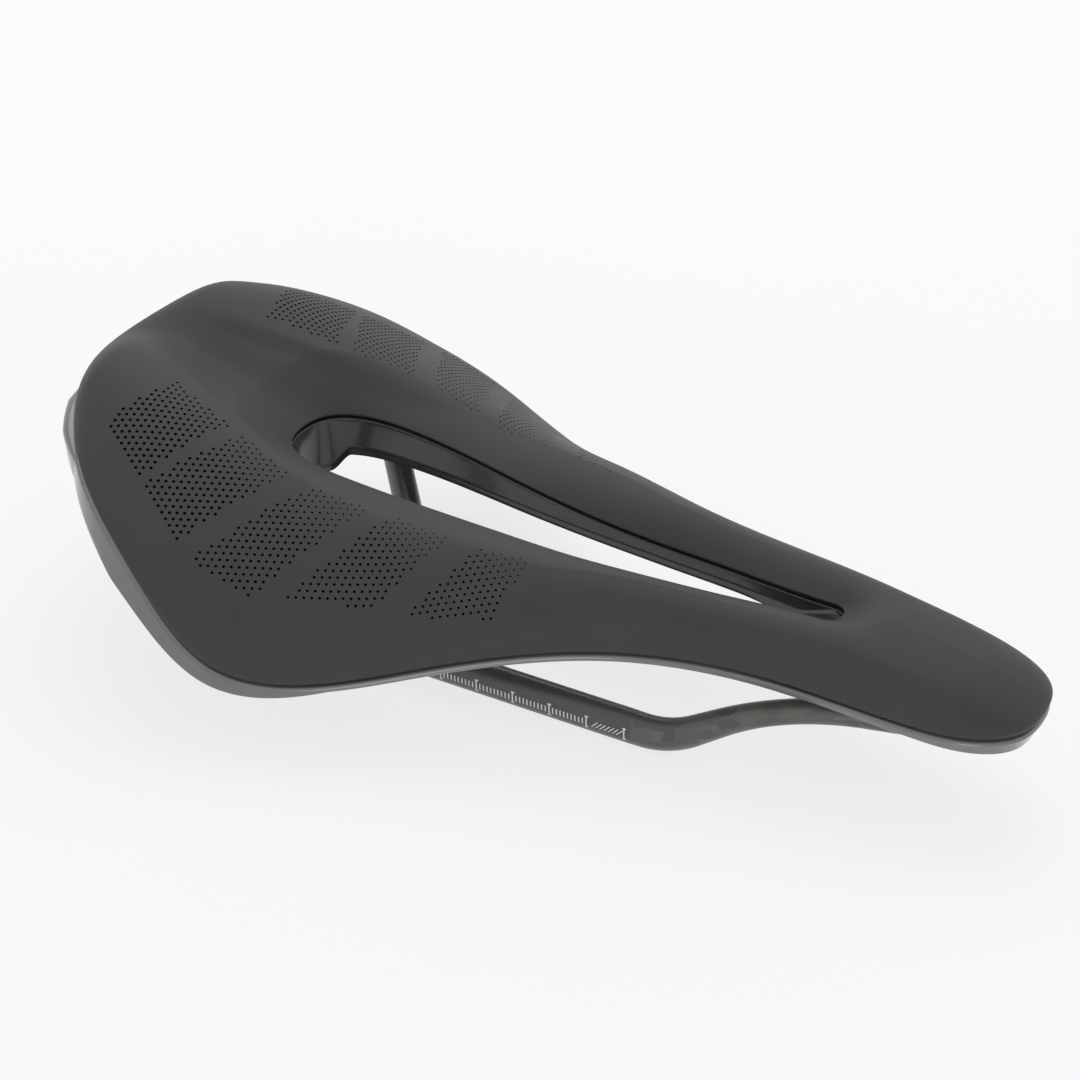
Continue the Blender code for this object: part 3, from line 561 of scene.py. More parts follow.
    def make_rim(self) -> tuple[Array, Array, Array]:
        """Return the ledge below the seam and the outer and the inner lower edge of the shell's rim.

        Each is the seam moved down and sideways by amounts that change along the saddle.

        Returns:
            The ledge, the outer edge and the inner edge.
        """
        form, x = self.form, self.outer[:, 0]
        height = np.interp(x, form.rim_stops, form.rim_heights)[:, None]
        flare = np.interp(x, form.rim_flare_stops, form.rim_flares)[:, None]
        ledge = np.interp(x, form.rim_flare_stops, form.rim_ledges)[:, None]
        edge = self.outer - form.clearance * UP
        shelf = edge - form.rim_ledge_share * height * UP + ledge * self.outer_normal
        outer = edge - height * UP + flare * self.outer_normal
        return shelf, outer, outer - form.rim_wall * self.outer_normal

    def under_tree(self) -> BVHTree:
        """Return a search tree of the shell's underside.

        Returns:
            The tree.
        """
        columns, rows = self.shell_under.shape[:2]
        quads = ring_quads(columns, rows).reshape(columns, rows, 4)[:, :-1].reshape(-1, 4)
        return BVHTree.FromPolygons(self.shell_under.reshape(-1, 3).tolist(), quads.tolist())


def add_node(tree: bpy.types.NodeTree, kind: str, inputs: dict | None = None,
             **settings: object) -> bpy.types.Node:
    """Add a shader node.

    Args:
        tree: Node tree that takes it.
        kind: Type of node.
        inputs: Value for each input, by name or number, where a socket is linked and anything else is set.
        settings: Properties of the node.

    Returns:
        The new node.
    """
    node = tree.nodes.new(kind)
    for key, value in settings.items():
        setattr(node, key, value)
    for key, value in (inputs or {}).items():
        if isinstance(value, bpy.types.NodeSocket):
            tree.links.new(value, node.inputs[key])
        else:
            node.inputs[key].default_value = value
    return node


def calculate(tree: bpy.types.NodeTree, operation: str, *values: object,
              **settings: object) -> bpy.types.NodeSocket:
    """Add a calculation with values or sockets and return its result."""
    node = add_node(tree, "ShaderNodeMath", dict(enumerate(values)), operation=operation, **settings)
    return node.outputs[0]


def spread(tree: bpy.types.NodeTree, value: bpy.types.NodeSocket, given: tuple, wanted: tuple,
           **settings: object) -> bpy.types.NodeSocket:
    """Add a range that takes a value from the given limits to the wanted ones, and return its result."""
    limits = {"Value": value, "From Min": given[0], "From Max": given[1],
              "To Min": wanted[0], "To Max": wanted[1]}
    return add_node(tree, "ShaderNodeMapRange", limits, **settings).outputs["Result"]


def blend(tree: bpy.types.NodeTree, share: bpy.types.NodeSocket, first: object,
          second: object) -> bpy.types.NodeSocket:
    """Add a mix of two colours, each a socket or a value, and return its result."""
    inputs = {"Factor": share, "A": first, "B": second}
    return add_node(tree, "ShaderNodeMix", inputs, data_type="RGBA").outputs["Result"]


class SharedEffects:
    """Node groups that several finishes use."""

    drift_limits: tuple = (0.3, 0.7)
    fine_scale: float = 2.7
    fine_share: float = 0.45
    tow_stretch: tuple = (0.55, 1.0, 1.0)
    fibre_stretch: tuple = (1.0, 9.0, 1.0)
    fibre_scale: float = 1.6
    fibre_share: float = 0.6
    tow_limits: tuple = (0.15, 1.45)

    def __init__(self) -> None:
        """Build each group once."""
        self.drift = self.make_drift()
        self.pebble = self.make_pebble()
        self.tow = self.make_tow()

    @staticmethod
    def start(name: str, inputs: tuple, outputs: tuple) -> tuple:
        """Start a node group on coordinates and a scale.

        Args:
            name: Name of the group.
            inputs: Names of its colour inputs.
            outputs: Name and kind of each output.

        Returns:
            The group, its input sockets and its output node.
        """
        group = bpy.data.node_groups.new(name, "ShaderNodeTree")
        sockets = [("Vector", "Vector"), ("Scale", "Float")] + [(title, "Color") for title in inputs]
        for way, row in (("INPUT", sockets), ("OUTPUT", outputs)):
            for title, kind in row:
                group.interface.new_socket(title, in_out=way, socket_type="NodeSocket" + kind)
        return group, group.nodes.new("NodeGroupInput").outputs, group.nodes.new("NodeGroupOutput")

    def make_drift(self) -> bpy.types.NodeTree:
        """Build the slow drift of colour that a moulded or coated surface shows.

        Returns:
            The node group.
        """
        outputs = (("Color", "Color"), ("Value", "Float"))
        group, entry, leave = self.start("tone_drift", ("Light", "Dark"), outputs)
        noise = add_node(group, "ShaderNodeTexNoise", {"Vector": entry["Vector"], "Scale": entry["Scale"],
                                                       "Detail": 4.0, "Roughness": 0.55})
        value = spread(group, noise.outputs["Fac"], self.drift_limits, (0.0, 1.0))
        group.links.new(blend(group, value, entry["Dark"], entry["Light"]), leave.inputs["Color"])
        group.links.new(value, leave.inputs["Value"])
        return group

    def make_pebble(self) -> bpy.types.NodeTree:
        """Build a pebbled grain: rounded cells with finer noise over them.

        Returns:
            The node group.
        """
        group, entry, leave = self.start("pebble_grain", (), (("Height", "Float"),))
        cells = add_node(group, "ShaderNodeTexVoronoi", {"Vector": entry["Vector"], "Scale": entry["Scale"]},
                         feature="SMOOTH_F1")
        finer = calculate(group, "MULTIPLY", entry["Scale"], self.fine_scale)
        noise = add_node(group, "ShaderNodeTexNoise", {"Vector": entry["Vector"], "Scale": finer,
                                                       "Detail": 2.0})
        low = calculate(group, "SUBTRACT", 1.0, cells.outputs["Distance"])
        total = calculate(group, "MULTIPLY_ADD", noise.outputs["Fac"], self.fine_share, low)
        group.links.new(total, leave.inputs["Height"])
        return group

    def make_tow(self) -> bpy.types.NodeTree:
        """Build chopped carbon tows: long patches, each with its own shade, and fibres along them.

        Returns:
            The node group.
        """
        group, entry, leave = self.start("carbon_tow", (), (("Shade", "Float"), ("Height", "Float")))
        along, fine = (add_node(group, "ShaderNodeMapping", {"Vector": entry["Vector"], "Scale": stretch})
                       for stretch in (self.tow_stretch, self.fibre_stretch))
        patches = add_node(group, "ShaderNodeTexVoronoi", {"Vector": along.outputs["Vector"],
                                                           "Scale": entry["Scale"], "Randomness": 1.0})
        shade = add_node(group, "ShaderNodeSeparateColor", {"Color": patches.outputs["Color"]}).outputs["Red"]
        scale = calculate(group, "MULTIPLY", entry["Scale"], self.fibre_scale)
        fibres = add_node(group, "ShaderNodeTexNoise", {"Vector": fine.outputs["Vector"], "Scale": scale,
                                                        "Detail": 3.0}).outputs["Fac"]
        total = calculate(group, "MULTIPLY_ADD", fibres, self.fibre_share, shade)
        group.links.new(spread(group, total, self.tow_limits, (0.0, 1.0)), leave.inputs["Shade"])
        group.links.new(fibres, leave.inputs["Height"])
        return group


@dataclass(frozen=True)
class Finish:
    """A procedural finish: two shades that drift into each other, a range of gloss, and a bumpy grain."""

    name: str
    light: Colour
    dark: Colour
    drift_scale: float = 60.0
    roughness: tuple = (0.5, 0.6)
    metallic: float = 0.0
    coat: float = 0.0
    coat_roughness: float = 0.1
    sheen: float = 0.0
    sheen_roughness: float = 0.4
    specular: float = 0.5
    grain_scale: float = 2000.0
    grain_strength: float = 0.2
    grain_depth: float = 0.00005

    def start(self) -> tuple[bpy.types.Material, bpy.types.NodeTree, bpy.types.Node]:
        """Start a material with this finish's constant values.

        Returns:
            The material, its node tree and its shader.
        """
        material = bpy.data.materials.new(self.name)
        material.use_nodes = True
        tree = material.node_tree
        shader = tree.nodes["Principled BSDF"]
        values = {"Metallic": self.metallic, "Coat Weight": self.coat, "Coat Roughness": self.coat_roughness,
                  "Sheen Weight": self.sheen, "Sheen Roughness": self.sheen_roughness,
                  "Specular IOR Level": self.specular}
        for key, value in values.items():
            shader.inputs[key].default_value = value
        return material, tree, shader

    def gloss(self, tree: bpy.types.NodeTree, shader: bpy.types.Node, value: bpy.types.NodeSocket) -> None:
        """Let the roughness follow a value between the finish's two limits."""
        tree.links.new(spread(tree, value, (0.0, 1.0), self.roughness), shader.inputs["Roughness"])

    def bump(self, tree: bpy.types.NodeTree, shader: bpy.types.Node, height: bpy.types.NodeSocket) -> None:
        """Let a height bump the surface."""
        node = add_node(tree, "ShaderNodeBump", {"Height": height, "Strength": self.grain_strength,
                                                 "Distance": self.grain_depth})
        tree.links.new(node.outputs["Normal"], shader.inputs["Normal"])

    def material(self, effects: SharedEffects) -> bpy.types.Material:
        """Build the material on the piece's own coordinates.

        Args:
            effects: The shared node groups.

        Returns:
            The material.
        """
        material, tree, shader = self.start()
        place = add_node(tree, "ShaderNodeTexCoord").outputs["Object"]
        tones = {"Vector": place, "Scale": self.drift_scale,
                 "Light": (*self.light, 1.0), "Dark": (*self.dark, 1.0)}
        drift = add_node(tree, "ShaderNodeGroup", tones, node_tree=effects.drift)
        grain = add_node(tree, "ShaderNodeGroup", {"Vector": place, "Scale": self.grain_scale},
                         node_tree=effects.pebble)
        tree.links.new(drift.outputs["Color"], shader.inputs["Base Color"])
        self.gloss(tree, shader, drift.outputs["Value"])
        self.bump(tree, shader, grain.outputs["Height"])
        return material


@dataclass(frozen=True)
class CarbonFinish(Finish):
    """Chopped carbon on the piece's own UV map, with a dark film where a clamp grips it."""

    tow_scale: float = 380.0
    film: Colour = (0.040, 0.044, 0.050)
    film_share: float = 0.75
    film_ends: tuple = (-0.046, 0.0415)
    film_edge: float = 0.0004

    def material(self, effects: SharedEffects) -> bpy.types.Material:
        """Build the material on the rail's UV map, whose units are metres along it and round it.

        Args:
            effects: The shared node groups.

        Returns:
            The material.
        """
        material, tree, shader = self.start()
        place = add_node(tree, "ShaderNodeTexCoord").outputs
        tow = add_node(tree, "ShaderNodeGroup", {"Vector": place["UV"], "Scale": self.tow_scale},
                       node_tree=effects.tow)
        bare = blend(tree, tow.outputs["Shade"], (*self.dark, 1.0), (*self.light, 1.0))
        along = add_node(tree, "ShaderNodeSeparateXYZ", {"Vector": place["Object"]}).outputs["X"]
        rear, front = (spread(tree, along, (end - self.film_edge, end + self.film_edge), (0.0, 1.0))
                       for end in self.film_ends)
        share = calculate(tree, "MULTIPLY", calculate(tree, "SUBTRACT", rear, front), self.film_share)
        tree.links.new(blend(tree, share, bare, (*self.film, 1.0)), shader.inputs["Base Color"])
        self.gloss(tree, shader, tow.outputs["Shade"])
        self.bump(tree, shader, tow.outputs["Height"])
        return material


SKIN = Finish("cover_skin", (0.0493, 0.0500, 0.0522), (0.0421, 0.0428, 0.0450), 45.0, (0.50, 0.60),
              sheen=0.03, specular=0.20, grain_scale=2600.0, grain_strength=0.22, grain_depth=0.00006)
# Painted shade: the pits' near-black colour stands in for the shade deep inside the perforations, which are
# cut only as shallow blind holes.
PIT_SHADE = Finish("perforation_pit_shade", (0.010, 0.010, 0.010), (0.007, 0.007, 0.007), 900.0, (0.85, 0.95),
             specular=0.1, grain_scale=6000.0)
GLOSS = Finish("gloss_shell", (0.150, 0.149, 0.147), (0.125, 0.124, 0.122), 70.0, (0.18, 0.26), coat=0.6,
               coat_roughness=0.08, grain_scale=900.0, grain_strength=0.05, grain_depth=0.00004)
LINER = Finish("liner_gloss", (0.038, 0.038, 0.039), (0.030, 0.030, 0.031), 80.0, (0.22, 0.30), coat=0.4,
               coat_roughness=0.10, grain_scale=1200.0, grain_strength=0.06, grain_depth=0.00004)
CARBON = CarbonFinish("carbon", (0.115, 0.108, 0.098), (0.045, 0.043, 0.040), roughness=(0.36, 0.46),
                      coat=0.3, coat_roughness=0.22, grain_strength=0.10, grain_depth=0.00004)
MOULDED = Finish("moulded", (0.034, 0.034, 0.035), (0.026, 0.026, 0.027), 120.0, (0.46, 0.58),
                 grain_scale=1800.0, grain_strength=0.25)
STEEL = Finish("steel", (0.42, 0.42, 0.43), (0.34, 0.34, 0.35), 300.0, (0.24, 0.34), metallic=1.0,
               grain_scale=3000.0, grain_strength=0.08)
INK = Finish("scale_ink", (0.78, 0.78, 0.77), (0.70, 0.70, 0.69), 800.0, (0.5, 0.6), grain_scale=4000.0)


@dataclass(frozen=True)
class Patch:
    """A slanted patch of perforations on one side, by its corners as places along and across the saddle.

    Its holes grow from the first diameter at its inner edge to the second one, which they reach half way out.
    """

    inner_rear: tuple
    inner_front: tuple
    outer_front: tuple
    outer_rear: tuple
    diameters: tuple
    full_share: float = 0.5

    def holds(self, x: Array, y: Array) -> Array:
        """Say which places lie inside the four edges of the patch.

        A place is inside where its cross product with every edge is positive.

        Args:
            x: Places along the saddle.
            y: Places across it.

        Returns:
            True for each place inside.
        """
        corners = np.array([self.inner_rear, self.inner_front, self.outer_front, self.outer_rear])
        edges = np.roll(corners, -1, axis=0) - corners
        side = [edge[0] * (y - corner[1]) - edge[1] * (x - corner[0]) for corner, edge in zip(corners, edges)]
        return np.min(side, axis=0) > 0.0

    def hole_size(self, x: Array, y: Array) -> Array:
        """Return the diameter of holes at places, by how far they lie from the inner to the outer edge.

        Args:
            x: Places along the saddle.
            y: Places across it.

        Returns:
            The diameter at each place.
        """
        inner = 0.5 * (np.array(self.inner_rear) + self.inner_front)
        outer = 0.5 * (np.array(self.outer_rear) + self.outer_front)
        axis = outer - inner
        share = ((x - inner[0]) * axis[0] + (y - inner[1]) * axis[1]) / (axis @ axis)
        return self.diameters[0] + (self.diameters[1] - self.diameters[0]) * ease(share / self.full_share)


@dataclass(frozen=True)
class Perforation:
    """Patches of small blind holes in the cover."""

    pitch: float = 0.00185
    depth: float = 0.0007
    pin_above: float = 0.4
    pin_taper: float = 0.85
    sides: int = 10
    lattice_angle: float = 60.0
    reach: float = 0.068
    deck_samples: int = 400
    patches: tuple = (
        Patch((-0.0870, 0.0196), (-0.0688, 0.0234), (-0.0786, 0.0478), (-0.0934, 0.0400), (0.00078, 0.00094)),
        Patch((-0.0644, 0.0244), (-0.0488, 0.0282), (-0.0628, 0.0562), (-0.0772, 0.0494), (0.00060, 0.00090)),
        Patch((-0.0426, 0.0276), (-0.0278, 0.0256), (-0.0416, 0.0576), (-0.0582, 0.0586), (0.00052, 0.00082)),
        Patch((-0.0219, 0.0235), (-0.0066, 0.0238), (-0.0162, 0.0452), (-0.0344, 0.0530), (0.00048, 0.00078)),
        Patch((0.0008, 0.0236), (0.0138, 0.0218), (0.0109, 0.0366), (-0.0084, 0.0436), (0.00046, 0.00074)),
    )

    def lattice(self, form: SaddleForm) -> tuple[Array, Array, Array]:
        """Lay out a hexagonal lattice over the patches of the left side.

        Rows cross the saddle, and along each row holes are one pitch apart, measured along the deck's curve.

        Args:
            form: Sizes of the saddle.

        Returns:
            Places along and across the saddle, and the diameter of each hole.
        """
        corners = np.array([[patch.inner_rear, patch.inner_front, patch.outer_front, patch.outer_rear]
                            for patch in self.patches])
        row_pitch = self.pitch * math.sin(math.radians(self.lattice_angle))
        rows = np.arange(corners[..., 0].min(), corners[..., 0].max(), row_pitch)
        across = np.linspace(0.0, self.reach, self.deck_samples)
        height = form.deck_height(rows[:, None], across[None, :])
        run = np.hypot(np.diff(across)[None, :], np.diff(height, axis=1))
        along = np.concatenate([np.zeros((len(rows), 1)), np.cumsum(run, axis=1)], axis=1)
        count = np.arange(int(self.reach / self.pitch))
        places = []
        for number, row in enumerate(rows):
            y = np.interp((count + 0.5 * (number % 2)) * self.pitch, along[number], across)
            places.append(np.stack([np.full(len(y), row), y], -1))
        x, y = np.concatenate(places).T
        inside = np.array([patch.holds(x, y) for patch in self.patches])
        size = np.array([patch.hole_size(x, y) for patch in self.patches])
        size = np.where(inside, size, 0.0).max(axis=0)
        keep = inside.any(axis=0)
        return x[keep], y[keep], size[keep]

    def pins(self, form: SaddleForm, tree: BVHTree) -> bpy.types.Object:
        """Make the pins that cut the holes, each square to the cover where it stands.

        Args:
            form: Sizes of the saddle.
            tree: Search tree of the cover's outer sheet.

        Returns:
            One object that holds all the pins.
        """
        x, y, size = self.lattice(form)
        x, size = np.tile(x, 2), np.tile(size, 2)
        y = np.concatenate([y, -y])
        above = 2.0 * form.tail[1]
        hits = [tree.ray_cast(Vector((a, b, above)), Vector(-UP)) for a, b in zip(x, y)]
        centre = np.array([hit[0] for hit in hits])
        normal = unit(np.array([hit[1] for hit in hits]))
        normal *= np.sign(normal[:, 2:])
        first = unit(np.cross(normal, (0.0, 1.0, 0.0)))
        second = np.cross(normal, first)
        turn = (2.0 * np.pi * np.arange(self.sides) / self.sides)[None, :, None]
        circle = np.cos(turn) * first[:, None] + np.sin(turn) * second[:, None]
        circle *= (0.5 * size)[:, None, None]
        top = (centre + self.pin_above * self.depth * normal)[:, None]
        bottom = (centre - self.depth * normal)[:, None]
        points = np.concatenate([top + circle, bottom + self.pin_taper * circle], axis=1)
        around = np.arange(self.sides)
        following = (around + 1) % self.sides
        walls = np.stack([around, around + self.sides, following + self.sides, following], -1)
        base = np.arange(len(x)) * 2 * self.sides
        faces = (walls[None] + base[:, None, None]).reshape(-1, 4).tolist()
        faces += (around[None] + base[:, None]).tolist()
        faces += (around[::-1][None] + self.sides + base[:, None]).tolist()
        return add_mesh("perforation_pins", points, faces)


@dataclass
class PaddedCover:
    """The cover with the padding below it, perforated on the wings."""

    sheets: SaddleSheets
    edge_round: float = 0.0008
    seam_gap: float = 0.0004
    seat_clearances: float = 1.2
    inner_rows: int = 16
    deck_rows: int = 52
    outer_rows: int = 26
    perforation: Perforation = field(default_factory=Perforation)

    def build(self, effects: SharedEffects) -> bpy.types.Object:
        """Build and dress the cover: outer sheet, two rounded edges and a seat that follows the shell.

        Args:
            effects: The shared node groups.

        Returns:
            The piece.
        """
        sheets, r = self.sheets, self.edge_round
        top = sheets.cover_top(np.cos(np.linspace(0.0, 0.5 * np.pi, self.inner_rows, endpoint=False)),
                               np.linspace(0.0, 1.0, self.deck_rows),
                               np.linspace(0.0, 90.0, self.outer_rows + 1)[1:], r + self.seam_gap)
        turn = QUARTER[:, 1:]
        outer_normal, inner_normal = sheets.outer_normal[:, None], sheets.inner_normal[:, None]
        outer_edge = (top[:, -1:] - r * outer_normal
                      + r * (np.cos(turn) * outer_normal - np.sin(turn) * UP))
        inner_edge = (top[:, :1] + r * inner_normal
                      - r * (np.cos(turn[:, ::-1]) * inner_normal + np.sin(turn[:, ::-1]) * UP))
        seat = sheets.shell_top[:, 1:-1][:, ::-1] + self.seat_clearances * sheets.form.clearance * UP
        sections = np.concatenate([inner_edge, top, outer_edge, seat], axis=1)
        columns, rows = sections.shape[:2]
        piece = add_mesh("padded_cover", sections, ring_quads(columns, rows))
        tree = BVHTree.FromPolygons(sections.reshape(-1, 3).tolist(), ring_quads(columns, rows).tolist())
        pins = self.perforation.pins(sheets.form, tree)
        piece.data.materials.append(SKIN.material(effects))
        pit_shade = PIT_SHADE.material(effects)
        # The walls of the holes keep their slot number, so the pit's painted shade is second on both objects.
        piece.data.materials.append(pit_shade)
        pins.data.materials.append(pit_shade)
        pins.data.materials.append(pit_shade)
        pins.data.polygons.foreach_set("material_index", np.ones(len(pins.data.polygons), dtype=np.int32))
        carve(piece, pins)
        piece.data.set_sharp_from_angle(angle=math.radians(SHARP_ANGLE))
        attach(piece, BODY)
        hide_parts("cover", "foam_pad")
        return piece


@dataclass
class BaseShell:
    """The glossy shell under the padding, whose rim shows below the seam."""

    sheets: SaddleSheets
    top_round: float = 0.0008
    foot_round: float = 0.0006
    rail_clearances: float = 1.2
    face_steps: int = 5
    under_steps: int = 4

    def sections(self) -> Array:
        """Return the closed section at every column.

        The section runs over the hidden top to the seam, round a small edge, down the slightly swollen outer
        face, round the foot and back along the underside.

        Returns:
            Grid of columns by points round the section.
        """
        sheets = self.sheets
        normal = sheets.outer_normal[:, None]
        edge = sheets.shell_top[:, -1:]
        sine, cosine = np.sin(QUARTER), np.cos(QUARTER)
        shoulder = edge + self.top_round * ((sine - 1.0) * normal + (cosine - 1.0) * UP)
        foot = sheets.rim_outer[:, None] + self.foot_round * ((cosine - 1.0) * normal + (1.0 - sine) * UP)
        face = np.stack([shoulder[:, -1], sheets.rim_ledge, foot[:, 0]], axis=1)
        face = smooth_rows(face, self.face_steps)[:, 1:-1]
        under = smooth_rows(sheets.shell_under[:, -2::-1], self.under_steps)
        inside = sheets.rim_inner[:, None]
        return np.concatenate([sheets.shell_top[:, :-1], shoulder, face, foot, inside, under], axis=1)

    def build(self, effects: SharedEffects, rails: "CarbonRails") -> bpy.types.Object:
        """Build and dress the shell, with room for the rails where they pass its rim.

        Args:
            effects: The shared node groups.
            rails: The rails.

        Returns:
            The piece.
        """
        sections = self.sections()
        piece = add_mesh("base_shell_fine", sections, ring_quads(*sections.shape[:2]))
        for side in Side:
            carve(piece, rails.tube("rail_room", side, self.rail_clearances * self.sheets.form.clearance))
        piece.data.set_sharp_from_angle(angle=math.radians(SHARP_ANGLE))
        piece.data.materials.clear()
        piece.data.materials.append(GLOSS.material(effects))
        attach(piece, BODY)
        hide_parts("base_shell")
        return piece


@dataclass
class CutoutLiner:
    """The glossy ring that lines the cut-out."""

    sheets: SaddleSheets
    end_depth: float = 0.0145
    end_x: float = -0.0575
    end_length: float = 0.005
    rear_depth: float = 0.0102
    front_depth: float = 0.0043
    draft: float = 0.0006
    lip: float = 0.0007
    lip_height: float = 0.0018
    edge_round: float = 0.0003
    flange: float = 0.0028
    flange_thickness: float = 0.0012
    setback: float = 0.012
    setback_length: float = 0.030
    wall_top_share: float = 0.06
    sharp_angle: float = 50.0
    wall_rows: int = 16

    def sections(self) -> Array:
        """Return the closed section at every column.

        The wall falls from the cover's inner edge with a slight draft and ends in a rounded lip, and behind
        it a flange hooks under the shell.

        Returns:
            Grid of columns by points round the section.
        """
        sheets, form = self.sheets, self.sheets.form
        inner, normal = sheets.inner, sheets.inner_normal
        top = inner - form.clearance * UP
        back = top + form.liner_wall * normal
        edge = sheets.shell_under[:, 0] - form.clearance * UP
        next_row = sheets.shell_under[:, 1] - form.clearance * sheets.shell_normal[:, 1]
        tip = edge + self.flange * unit(next_row - edge)
        root = np.concatenate([back[:, :2], edge[:, 2:]], axis=1)
        tip_under = tip - self.flange_thickness * UP
        end = ease((self.end_x - inner[:, 0]) / self.end_length)
        depth = (self.front_depth + (self.rear_depth - self.front_depth) * form.cutout_level(inner[:, 0])
                 + (self.end_depth - self.rear_depth) * end)
        front = ease((inner[:, 0] - form.cutout_front_x + self.setback_length) / self.setback_length)
        foot = inner - depth[:, None] * UP - self.draft * normal
        foot[:, 0] -= self.setback * front
        foot_back = np.concatenate([root[:, :2], np.minimum(foot[:, 2:], tip_under[:, 2:])], axis=1)
        turn = QUARTER[:, ::-1]
        r = self.edge_round
        crown = (top[:, None] + r * (normal[:, None] - UP)
                 - r * (np.sin(turn) * normal[:, None] - np.cos(turn) * UP))
        share = np.linspace(1.0, self.wall_top_share, self.wall_rows)[None, :, None]
        step = self.lip * ease((share - 1.0) * depth[:, None, None] / self.lip_height + 1.0)
        wall = (1.0 - share) * top[:, None] + share * foot[:, None] - step * normal[:, None]
        hook = np.stack([back, root, tip, tip_under, foot_back], axis=1)
        return np.concatenate([hook, wall, crown], axis=1)

    def build(self, effects: SharedEffects) -> bpy.types.Object:
        """Build and dress the liner.

        Args:
            effects: The shared node groups.

        Returns:
            The piece.
        """
        sections = self.sections()
        piece = add_mesh("cutout_liner", sections, ring_quads(*sections.shape[:2]), self.sharp_angle)
        piece.data.materials.append(LINER.material(effects))
        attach(piece, BODY)
        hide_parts("cutout_trim")
        return piece


